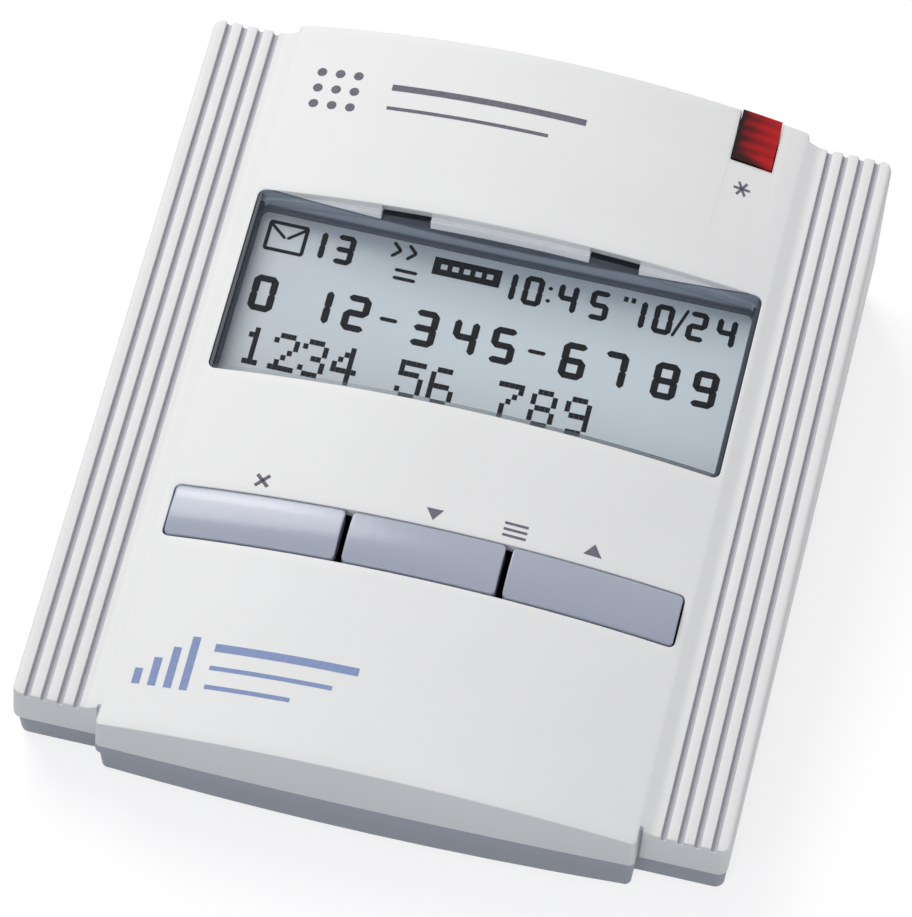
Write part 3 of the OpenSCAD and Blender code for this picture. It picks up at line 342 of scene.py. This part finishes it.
def clearPane(name):
    finish, tree, shader, place = newFinish(name, Roughness=pane["rough"], Specular_IOR_Level=pane["gloss"])
    haze = noiseOf(tree, place, pane["haze"])
    side, up, height = slopePlace(tree, place)
    across = axesOf(tree, place)[0]
    # painted shade: a dark border at the pane's sides and front stands for the shade in the gap round it; along the
    # front it fades out towards the left
    front = (up < pane["front"]) * addNode(tree, "ShaderNodeMath", {"use_clamp": True}, {0: across * pane["slant"], 1: 0.5})
    border = highest(tree, front, (side > pane["side"]) * pane["sideShare"])
    clear = mixColours(tree, haze, pane["dark"], pane["light"])
    feed(tree, shader, "Base Color", mixColours(tree, border, clear, pane["border"]))
    feed(tree, shader, "Alpha", border * pane["solid"] + pane["clear"])
    return finish


lens = {"rough": 0.25, "gloss": 0.2, "coat": 0.1, "coatRough": 0.05, "ribs": 170.0, "waver": 1.2, "cloud": 420,
        "shares": (0.55, 0.2, 0.35), "stops": [(0.2, tint(52, 2, 6)), (0.5, tint(140, 8, 16)), (0.9, tint(196, 20, 28))],
        "edge": (0.05, 0.18), "foot": (1.3 * mm, 2.6 * mm), "footShadeSlant": 2.4 * mm, "footShadeShare": 0.95, "dark": tint(34, 4, 7)}


def redLens(name):
    finish, tree, shader, place = newFinish(name, Roughness=lens["rough"], Coat_Weight=lens["coat"],
                                            Coat_Roughness=lens["coatRough"], Specular_IOR_Level=lens["gloss"])
    low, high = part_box("call_light_lens")
    x, y, z = axesOf(tree, place)
    across = (x - low.x) * (1 / (high.x - low.x))
    ribs = addNode(tree, "ShaderNodeTexWave", {"bands_direction": "Y"},
                   {"Vector": place, "Scale": lens["ribs"], "Distortion": lens["waver"]})
    cloud = noiseOf(tree, place, lens["cloud"])
    # painted light: the lens gets lighter towards one side, under its ribs and cloud
    light = across * lens["shares"][0] + ribs * lens["shares"][1] + cloud * lens["shares"][2]
    colour = addNode(tree, "ShaderNodeValToRGB", {"stops": lens["stops"]}, {"Fac": light})
    # painted shade: dark along the left edge and near the front left corner
    edge = ramp(tree, across, *lens["edge"], 1.0, 0.0)
    foot = ramp(tree, y - low.y + across * lens["footShadeSlant"], *lens["foot"], lens["footShadeShare"], 0.0)
    feed(tree, shader, "Base Color", mixColours(tree, highest(tree, edge, foot), colour, lens["dark"]))
    return finish


finishes["glass"] = displayGlass("display_grey")
finishes["pane"] = clearPane("clear_window")
finishes["lens"] = redLens("red_lens")

ink = {"rough": 0.7, "gloss": 0.1, "wear": 1400}


def printInk(name, colour, fade=0.12):
    finish, tree, shader, place = newFinish(name, Roughness=ink["rough"], Specular_IOR_Level=ink["gloss"])
    wear = noiseOf(tree, place, ink["wear"], 3)
    pale = tuple(c + (1 - c) * fade for c in colour[:3]) + (1,)
    feed(tree, shader, "Base Color", mixColours(tree, wear, colour, pale))
    return finish


finishes["figureInk"] = printInk("display_figures", tint(8, 9, 12), 0.01)
finishes["darkInk"] = printInk("dark_print", tint(100, 96, 111))
finishes["blueInk"] = printInk("blue_print", tint(130, 149, 193))

nodeFinish = {
    "top_housing": "housing", "bottom_housing": "tray", "battery_door": "tray", "rubber_feet": "rubber",
    "case_screws": "steel", "display_window": "pane", "display_bezel": "slate", "display_glass": "glass",
    "display_reflector": "film", "connector_strips": "strip", "erase_key": "keys", "scroll_down_key": "keys",
    "scroll_up_key": "keys", "erase_dome": "dome", "scroll_down_dome": "dome", "scroll_up_dome": "dome",
    "call_light_lens": "lens", "call_light_lamp": "lamp", "display_board": "greenBoard", "controller_chip": "black",
    "clock_crystal": "steel", "display_board_screws": "steel", "line_board": "tanBoard", "decoder_chip": "black",
    "line_transformer": "winding", "capacitors": "sleeve", "line_board_screws": "steel", "ribbon_cable": "ribbon",
    "ribbon_sockets": "ivory", "line_jack": "black", "phone_jack": "black", "line_jack_contacts": "brass",
    "phone_jack_contacts": "brass", "battery_cells": "cells", "left_battery_contacts": "steel",
    "right_battery_contacts": "steel", "positive_lead": "redWire", "negative_lead": "rubber",
}
for nodeName, finishName in nodeFinish.items():
    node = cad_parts[nodeName]
    for place in node.material_slots:
        place.material = finishes[finishName]
print("finishes made:", len(finishes))


def deselect():
    if bpy.context.object and bpy.context.object.mode != "OBJECT":
        bpy.ops.object.mode_set(mode="OBJECT")
    bpy.ops.object.select_all(action="DESELECT")


def pickUp(piece):
    deselect()
    piece.select_set(True)
    bpy.context.view_layer.objects.active = piece


def selectFaces(piece, test):
    bpy.ops.object.mode_set(mode="EDIT")
    bpy.ops.mesh.select_mode(type="FACE")
    bpy.ops.mesh.select_all(action="DESELECT")
    bpy.ops.object.mode_set(mode="OBJECT")
    for face in piece.data.polygons:
        face.select = test(face)
    bpy.ops.object.mode_set(mode="EDIT")


def dress(piece, finishName, body):
    piece.data.materials.clear()
    piece.data.materials.append(finishes[finishName])
    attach(piece, body)


rounding = {"merge": 0.0005 * mm, "flat": math.radians(0.2), "sharp": math.radians(40), "smooth": math.radians(28),
            "domeSmooth": math.radians(35), "segments": 3, "fine": -0.5}


def mergedCopy(nodeName, pieceName):  # a copy of a node's mesh whose faces share their corners
    piece = bpy.data.objects.new(pieceName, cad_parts[nodeName].data.copy())
    bpy.context.scene.collection.objects.link(piece)
    pickUp(piece)
    bpy.ops.mesh.customdata_custom_splitnormals_clear()
    bpy.ops.object.mode_set(mode="EDIT")
    bpy.ops.mesh.select_all(action="SELECT")
    bpy.ops.mesh.remove_doubles(threshold=rounding["merge"])
    bpy.ops.mesh.dissolve_limited(angle_limit=rounding["flat"])
    bpy.ops.object.mode_set(mode="OBJECT")
    return piece


def softCopy(nodeName, pieceName, spec):
    piece = mergedCopy(nodeName, pieceName)
    bpy.ops.object.mode_set(mode="EDIT")
    bpy.ops.mesh.select_mode(type="EDGE")
    for point, normal in spec.get("cuts", ()):  # long faces are cut short, so that their ends round evenly
        bpy.ops.mesh.select_all(action="SELECT")
        bpy.ops.mesh.bisect(plane_co=point, plane_no=normal)
    bpy.ops.mesh.select_all(action="DESELECT")
    bpy.ops.mesh.edges_select_sharp(sharpness=rounding["sharp"])
    bpy.ops.transform.edge_bevelweight(value=1)
    if "fine" in spec:  # thin lips round the window's tabs keep a smaller edge
        bpy.ops.object.mode_set(mode="OBJECT")
        inverse = slopeFrame.inverted()
        low, high = spec["fine"]
        for edge in piece.data.edges:
            ends = [inverse @ piece.data.vertices[i].co / mm for i in edge.vertices]
            inside = all(low[0] < abs(p.x) < high[0] and low[1] < p.y < high[1] for p in ends)
            edge.select = edge.select and inside
        bpy.ops.object.mode_set(mode="EDIT")
        bpy.ops.transform.edge_bevelweight(value=rounding["fine"])
    bpy.ops.object.mode_set(mode="OBJECT")
    bevel = piece.modifiers.new("edges", "BEVEL")
    bevel.limit_method = "WEIGHT"
    bevel.width, bevel.segments = spec["edge"] * mm, rounding["segments"]
    bevel.use_clamp_overlap = False
    bpy.ops.object.modifier_apply(modifier="edges")
    bpy.ops.object.shade_smooth_by_angle(angle=rounding["smooth"])
    dress(piece, spec["finish"], spec["body"])
    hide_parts(nodeName)
    return piece


upSlope = slopeFrame.to_3x3() @ Vector((0, 1, 0))
deckCuts = [(onSlope(0, up, 0), upSlope) for up in (-1.2, 2, 28, 40, 57, 93, 118, 119.9)]
trayCuts = [((x * mm, 0, 0), (1, 0, 0)) for x in (-51.2, -42.5, 42.5, 51.2)]
trayCuts += [((0, y * mm, 0), (0, 1, 0)) for y in (-54.6, -20.0, 20.0, 59.0)]
softSpecs = {
    "top_housing": {"edge": 0.13, "finish": "housing", "body": "case", "cuts": deckCuts,
                    "fine": ((11.5, 89.5), (21.0, 93.5))},  # across and up the slope, in mm
    "bottom_housing": {"edge": 0.22, "finish": "tray", "body": "case", "cuts": trayCuts},
    "battery_door": {"edge": 0.15, "finish": "tray", "body": "battery_door"},
}
for nodeName, spec in softSpecs.items():
    softCopy(nodeName, "soft_" + nodeName, spec)

keySpec = {"grid": 0.16, "passes": 5}
for keyName in ("erase_key", "scroll_down_key", "scroll_up_key"):
    key = mergedCopy(keyName, "soft_" + keyName)
    key.data.remesh_voxel_size = keySpec["grid"] * mm
    bpy.ops.object.voxel_remesh()
    relax = key.modifiers.new("relax", "SMOOTH")
    relax.factor, relax.iterations = 0.5, keySpec["passes"]
    bpy.ops.object.modifier_apply(modifier="relax")
    bpy.ops.object.shade_smooth()
    dress(key, "keys", keyName)
    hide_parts(keyName)
print("edges softened:", len(softSpecs) + 3)

for name in ("erase", "scroll_down", "scroll_up"):
    dome = mergedCopy(name + "_dome", "soft_" + name + "_dome")
    bpy.ops.object.shade_smooth_by_angle(angle=rounding["domeSmooth"])
    dress(dome, "dome", "case")
    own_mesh(dome)
    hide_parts(name + "_dome")
print("domes set")

# figures on the display, in mm on the slope
figureSpec = {"z": -2.84, "thick": 0.03, "tip": 0.42, "point": 0.2, "gap": 0.1, "overlap": 0.5}  # shares of a stroke's width
segments = {"0": "abcdef", "1": "bc", "2": "abdeg", "3": "abcdg", "4": "bcfg", "5": "acdfg", "6": "acdefg",
            "7": "abc", "8": "abcdefg", "9": "abcdfg"}
strokes = {}


def strokeMesh(length, width):  # one stroke, pointed at both ends
    key = (round(length, 3), round(width, 3))
    if key not in strokes:
        deselect()
        bpy.ops.mesh.primitive_cube_add(size=1)
        bar = bpy.context.object
        tip = width * figureSpec["tip"]
        bpy.ops.object.mode_set(mode="EDIT")
        bpy.ops.mesh.select_all(action="SELECT")
        bpy.ops.transform.resize(value=((length - 2 * tip) * mm, width * mm, figureSpec["thick"] * mm))
        for side in (-1, 1):
            selectFaces(bar, lambda face: face.normal.x * side > 0.9)
            bpy.ops.mesh.extrude_region_move(TRANSFORM_OT_translate={"value": (side * tip * mm, 0, 0)})
            bpy.ops.transform.resize(value=(1, figureSpec["point"], 1))
        bpy.ops.object.mode_set(mode="OBJECT")
        strokes[key] = bar.data
        bpy.data.objects.remove(bar)
    return strokes[key]


def layStroke(parts, x, y, length, width, turn=0):
    mesh = strokeMesh(length, width).copy()
    laid = Matrix.Translation((x * mm, y * mm, figureSpec["z"] * mm))
    mesh.transform(laid @ Matrix.Rotation(math.radians(turn), 4, "Z"))
    part = bpy.data.objects.new("stroke", mesh)
    bpy.context.scene.collection.objects.link(part)
    parts.append(part)


def layFigure(parts, digit, x, y, w, h, width):  # x and y are the lower left corner
    if digit == "1":
        w = width
    reach = width * (figureSpec["overlap"] - figureSpec["gap"])  # how far a stroke runs into the corners
    across, up = w - width, (h - width) / 2
    spots = {"a": (0.5, 1, 0), "g": (0.5, 0.5, 0), "d": (0.5, 0, 0), "f": (0, 0.75, 90), "e": (0, 0.25, 90),
             "b": (1, 0.75, 90), "c": (1, 0.25, 90)}
    for name in segments[digit]:
        u, v, turn = spots[name]
        length = (up if turn else across) + reach
        layStroke(parts, x + width / 2 + u * across, y + width / 2 + v * 2 * up, length, width, turn)


def joinParts(parts, pieceName, finishName):  # one piece on the slope, from parts laid flat
    deselect()
    for part in parts:
        part.select_set(True)
    bpy.context.view_layer.objects.active = parts[0]
    bpy.ops.object.join()
    piece = bpy.context.object
    piece.name = pieceName
    piece.data.transform(slopeFrame)
    dress(piece, finishName, "case")
    return piece


def layBlock(parts, x, y, w, h, lift=0):
    deselect()
    bpy.ops.mesh.primitive_cube_add(size=1)
    part = bpy.context.object
    bpy.ops.object.mode_set(mode="EDIT")
    bpy.ops.mesh.select_all(action="SELECT")
    bpy.ops.transform.resize(value=(w * mm, h * mm, figureSpec["thick"] * mm))
    bpy.ops.object.mode_set(mode="OBJECT")
    part.data.transform(Matrix.Translation((x * mm, y * mm, (figureSpec["z"] + lift) * mm)))
    parts.append(part)


topRow = {"y": 83.5, "h": 5.2, "w": 3.1, "stroke": 0.92,
          "digits": [("1", -28.7), ("3", -26.4), ("1", 1.3), ("0", 3.3), ("4", 8.7), ("5", 13.7),
                     ("1", 21.6), ("0", 23.7), ("2", 29.0), ("4", 33.5)]}
topSigns = {  # strokes: x, y, length, width and turn
    "colon": [(7.4, 85.0, 0.75, 0.65), (7.4, 87.2, 0.75, 0.65)],
    "slash": [(27.9, 86.1, 5.4, 0.5, 72)],
    "letterEdges": [(-34.0, 83.6, 6.2, 0.6), (-34.0, 88.4, 6.2, 0.6), (-36.9, 86.0, 5.0, 0.6, 90), (-31.1, 86.0, 5.0, 0.6, 90)],
    "letterFlap": [(-35.5, 87.0, 3.6, 0.5, -40), (-32.5, 87.0, 3.6, 0.5, 40)],
    "firstArrow": [(-17.0, 88.7, 2.0, 0.55, -45), (-17.0, 87.5, 2.0, 0.55, 45)],
    "secondArrow": [(-14.6, 88.7, 2.0, 0.55, -45), (-14.6, 87.5, 2.0, 0.55, 45)],
    "lines": [(-14.8, 83.3, 3.6, 0.6), (-14.8, 84.7, 3.6, 0.6)],
}
topBlocks = {"badge": (-5.7, 86.9, 10.6, 3.1), "firstTick": (19.0, 88.2, 0.7, 0.9), "secondTick": (20.2, 88.2, 0.7, 0.9)}
parts = []
for digit, x in topRow["digits"]:
    layFigure(parts, digit, x, topRow["y"], topRow["w"], topRow["h"], topRow["stroke"])
for sign in topSigns.values():
    for stroke in sign:
        layStroke(parts, *stroke)
for block in topBlocks.values():
    layBlock(parts, *block)
joinParts(parts, "display_top_row", "figureInk")

badge = {"x": -9.3, "y": 86.9, "pitch": 1.8, "count": 5, "w": 1.0, "h": 0.9, "lift": 0.01}
parts = []
for i in range(badge["count"]):
    layBlock(parts, badge["x"] + i * badge["pitch"], badge["y"], badge["w"], badge["h"], badge["lift"])
joinParts(parts, "display_badge_marks", "glass")

numberRow = {"y": 72.5, "h": 6.35, "w": 3.9, "stroke": 1.12,
             "digits": [("0", -37.0), ("1", -25.5), ("2", -22.4), ("3", -11.7), ("4", -5.4), ("5", 0.6),
                        ("6", 11.6), ("7", 17.9), ("8", 25.9), ("9", 32.0)],
             "dashes": [-15.4, 7.8], "dash": (75.8, 2.8, 0.68)}
parts = []
for digit, x in numberRow["digits"]:
    layFigure(parts, digit, x, numberRow["y"], numberRow["w"], numberRow["h"], numberRow["stroke"])
for x in numberRow["dashes"]:
    layStroke(parts, x, *numberRow["dash"])
joinParts(parts, "display_number_row", "figureInk")

dotRow = {"y": 63.62, "dot": 0.78, "tall": 0.92, "across": 0.8, "up": 0.94,
          "marks": [("1", -36.2), ("2", -31.4), ("3", -26.9), ("4", -22.0), ("5", -11.8), ("6", -6.9),
                    ("7", 3.5), ("8", 8.8), ("9", 14.1)]}
dotFaces = {  # seven rows of five dots, from the top
    "1": "..#.. .##.. ..#.. ..#.. ..#.. ..#.. .###.", "2": ".###. #...# ....# ...#. ..#.. .#... #####",
    "3": ".###. #...# ....# ..##. ....# #...# .###.", "4": "...#. ..##. .#.#. #..#. ##### ...#. ...#.",
    "5": "##### #.... ####. ....# ....# #...# .###.", "6": ".###. #.... #.... ####. #...# #...# .###.",
    "7": "##### ....# ...#. ..#.. .#... .#... .#...", "8": ".###. #...# #...# .###. #...# #...# .###.",
    "9": ".###. #...# #...# .#### ....# ....# .###.",
}
deselect()
bpy.ops.mesh.primitive_cube_add(size=1)
dotPiece = bpy.context.object
bpy.ops.object.mode_set(mode="EDIT")
bpy.ops.mesh.select_all(action="SELECT")
bpy.ops.transform.resize(value=(dotRow["dot"] * mm, dotRow["tall"] * mm, figureSpec["thick"] * mm))
bpy.ops.object.mode_set(mode="OBJECT")
dotMesh = dotPiece.data
bpy.data.objects.remove(dotPiece)
parts = []
for mark, left in dotRow["marks"]:
    lines = dotFaces[mark].split()
    for row, line in enumerate(lines):
        for column, cell in enumerate(line):
            if cell == "#":
                mesh = dotMesh.copy()
                x = left + dotRow["dot"] / 2 + column * dotRow["across"]
                y = dotRow["y"] + (len(lines) - 1 - row) * dotRow["up"]
                mesh.transform(Matrix.Translation((x * mm, y * mm, figureSpec["z"] * mm)))
                part = bpy.data.objects.new("dot", mesh)
                bpy.context.scene.collection.objects.link(part)
                parts.append(part)
joinParts(parts, "display_dot_row", "figureInk")
print("display figures laid")

inkSpec = {"step": 1.2, "disc": 28, "above": 1, "off": 0.02, "thick": 0.03}


def layPatch(parts, kind, x, y, w, h, turn=0):  # a flat patch of ink over the deck
    deselect()
    if kind == "bar":
        bpy.ops.mesh.primitive_grid_add(x_subdivisions=max(1, math.ceil(w / inkSpec["step"])), y_subdivisions=1, size=1)
        wide, high = w, h
    elif kind == "triangle":
        bpy.ops.mesh.primitive_circle_add(vertices=3, radius=0.5, fill_type="NGON")
        wide, high = w / 0.866, h / 0.75  # a triangle in a circle of 1 is this wide and high
    else:
        bpy.ops.mesh.primitive_circle_add(vertices=inkSpec["disc"], radius=0.5, fill_type="NGON")
        wide, high = w, h
    patch = bpy.context.object
    bpy.ops.object.mode_set(mode="EDIT")
    bpy.ops.mesh.select_all(action="SELECT")
    bpy.ops.transform.resize(value=(wide * mm, high * mm, 1), center_override=(0, 0, 0))
    bpy.ops.object.mode_set(mode="OBJECT")
    lifted = Matrix.Translation((x * mm, y * mm, (deckHeight(x) + inkSpec["above"]) * mm))
    patch.data.transform(lifted @ Matrix.Rotation(math.radians(turn), 4, "Z"))
    parts.append(patch)


def printDeck(parts, pieceName, finishName):  # lays the patches on the crowned deck and gives them a skin of ink
    piece = joinParts(parts, pieceName, finishName)
    wrap = piece.modifiers.new("wrap", "SHRINKWRAP")
    wrap.target, wrap.wrap_method = bpy.data.objects["soft_top_housing"], "PROJECT"
    wrap.use_project_z, wrap.use_negative_direction, wrap.use_positive_direction = True, True, False
    wrap.offset = inkSpec["off"] * mm
    skin = piece.modifiers.new("skin", "SOLIDIFY")
    skin.thickness, skin.offset = inkSpec["thick"] * mm, 0
    for name in ("wrap", "skin"):
        bpy.ops.object.modifier_apply(modifier=name)


# marks on the deck: x, y, width, height and turn
keyMarks = {"down": (0.0, 41.0, 2.6, 1.9, 180), "up": (24.2, 41.1, 2.8, 2.0), "cross": (-26.3, 41.0, 2.7, 0.55),
            "lines": [(12.3, 40.1, 3.6, 0.42), (12.3, 41.1, 3.6, 0.42), (12.3, 42.1, 3.6, 0.42)]}
rearMarks = {"star": (32.4, 108.4, 2.6, 0.42), "bars": [(-8.4, 112.4, 30.6, 1.1), (-11.0, 108.6, 25.4, 0.6)],
             "dots": {"x": -35.1, "y": 107.6, "pitch": 2.9, "count": 3, "size": 1.5}}
parts = []
for name in ("down", "up"):
    layPatch(parts, "triangle", *keyMarks[name])
for turn in (45, -45):
    layPatch(parts, "bar", *keyMarks["cross"], turn)
for line in keyMarks["lines"]:
    layPatch(parts, "bar", *line)
for turn in (0, 60, 120):
    layPatch(parts, "bar", *rearMarks["star"], turn)
dots = rearMarks["dots"]
for row in range(dots["count"]):
    for column in range(dots["count"]):
        x, y = dots["x"] + column * dots["pitch"], dots["y"] + row * dots["pitch"]
        layPatch(parts, "disc", x, y, dots["size"], dots["size"])
for bar in rearMarks["bars"]:
    layPatch(parts, "bar", *bar)
printDeck(parts, "deck_marks", "darkInk")

blueMarks = {"columns": {"x": -36.4, "pitch": 2.4, "count": 4, "w": 1.2, "foot": 4.8, "first": 2.6, "rise": 2.1},
             "bars": [(-15.4, 12.6, 21.6, 1.3), (-17.0, 9.2, 18.4, 0.7), (-19.8, 6.0, 12.8, 0.7)]}
parts = []
columns = blueMarks["columns"]
for i in range(columns["count"]):
    tall = columns["first"] + i * columns["rise"]
    layPatch(parts, "bar", columns["x"] + i * columns["pitch"], columns["foot"] + tall / 2, columns["w"], tall)
for bar in blueMarks["bars"]:
    layPatch(parts, "bar", *bar)
printDeck(parts, "blue_marks", "blueInk")
print("deck printed")

lampSpecs = {
    "keyLamp": {"at": (-0.6, 0.55, 1.0), "size": 0.9, "energy": 9.0, "colour": (1.0, 0.99, 0.97)},
    "fillLamp": {"at": (-0.25, -1.05, 0.7), "size": 0.9, "energy": 5.0, "colour": (0.86, 0.91, 1.0)},
    "sideLamp": {"at": (1.1, -0.1, 0.2), "size": 0.7, "energy": 2.8, "colour": (0.97, 0.97, 1.0)},
    "rimLamp": {"at": (-0.5, 1.0, 0.9), "size": 0.5, "energy": 3.2, "colour": (1.0, 1.0, 1.0)},
}
lampTarget = Vector((0, 0, 0.02))
for lampName, spec in lampSpecs.items():
    data = bpy.data.lights.new(lampName, "AREA")
    data.shape, data.size = "DISK", spec["size"]
    data.energy, data.color = spec["energy"], spec["colour"]
    lamp = bpy.data.objects.new(lampName, data)
    bpy.context.scene.collection.objects.link(lamp)
    lamp.location = spec["at"]
    lamp.rotation_mode = "QUATERNION"
    lamp.rotation_quaternion = (lampTarget - Vector(spec["at"])).to_track_quat("-Z", "Y")


def seenRays(tree):  # 1 for what the camera, a reflection or a clear pane shows, 0 for light on the object
    rays = tree.nodes.new("ShaderNodeLightPath")
    seen = Wire(tree, rays.outputs["Is Camera Ray"]) + Wire(tree, rays.outputs["Is Glossy Ray"])
    return addNode(tree, "ShaderNodeMath", {"operation": "ADD", "use_clamp": True},
                   {0: seen, 1: Wire(tree, rays.outputs["Is Transmission Ray"])})


worldSpec = {"light": 0.26, "cool": (0.95, 0.95, 1, 1), "white": (1, 1, 1, 1)}


def addWorld(spec):
    world = bpy.data.worlds.new("studio")
    bpy.context.scene.world = world
    world.use_nodes = True
    tree = world.node_tree
    tree.nodes.clear()
    seen = seenRays(tree)
    strength = seen * (1 - spec["light"]) + spec["light"]
    colour = mixColours(tree, seen, spec["cool"], spec["white"])
    glow = addNode(tree, "ShaderNodeBackground", inputs={"Color": colour, "Strength": strength})
    addNode(tree, "ShaderNodeOutputWorld", inputs={"Surface": glow})


addWorld(worldSpec)
floorSpec = {"size": 8, "bounce": (0.4, 0.41, 0.43, 1), "pale": (0.95, 0.95, 0.95, 1), "glow": 1.1, "glowShare": 0.72}


def addFloor(spec):
    bpy.ops.object.select_all(action="DESELECT")
    bpy.ops.mesh.primitive_plane_add(size=spec["size"], location=(0, 0, 0))
    floor = bpy.context.object
    floor.name = "floor"
    finish = bpy.data.materials.new("pale_floor")
    finish.use_nodes = True
    tree = finish.node_tree
    tree.nodes.clear()
    seen = seenRays(tree)
    matt = addNode(tree, "ShaderNodeBsdfDiffuse", inputs={"Color": mixColours(tree, seen, spec["bounce"], spec["pale"])})
    glow = addNode(tree, "ShaderNodeEmission", inputs={"Color": (1, 1, 1, 1), "Strength": spec["glow"]})
    mixed = addNode(tree, "ShaderNodeMixShader", inputs={0: seen * spec["glowShare"], 1: matt, 2: glow})
    addNode(tree, "ShaderNodeOutputMaterial", inputs={"Surface": mixed})
    floor.data.materials.append(finish)


addFloor(floorSpec)
print("stage lit")
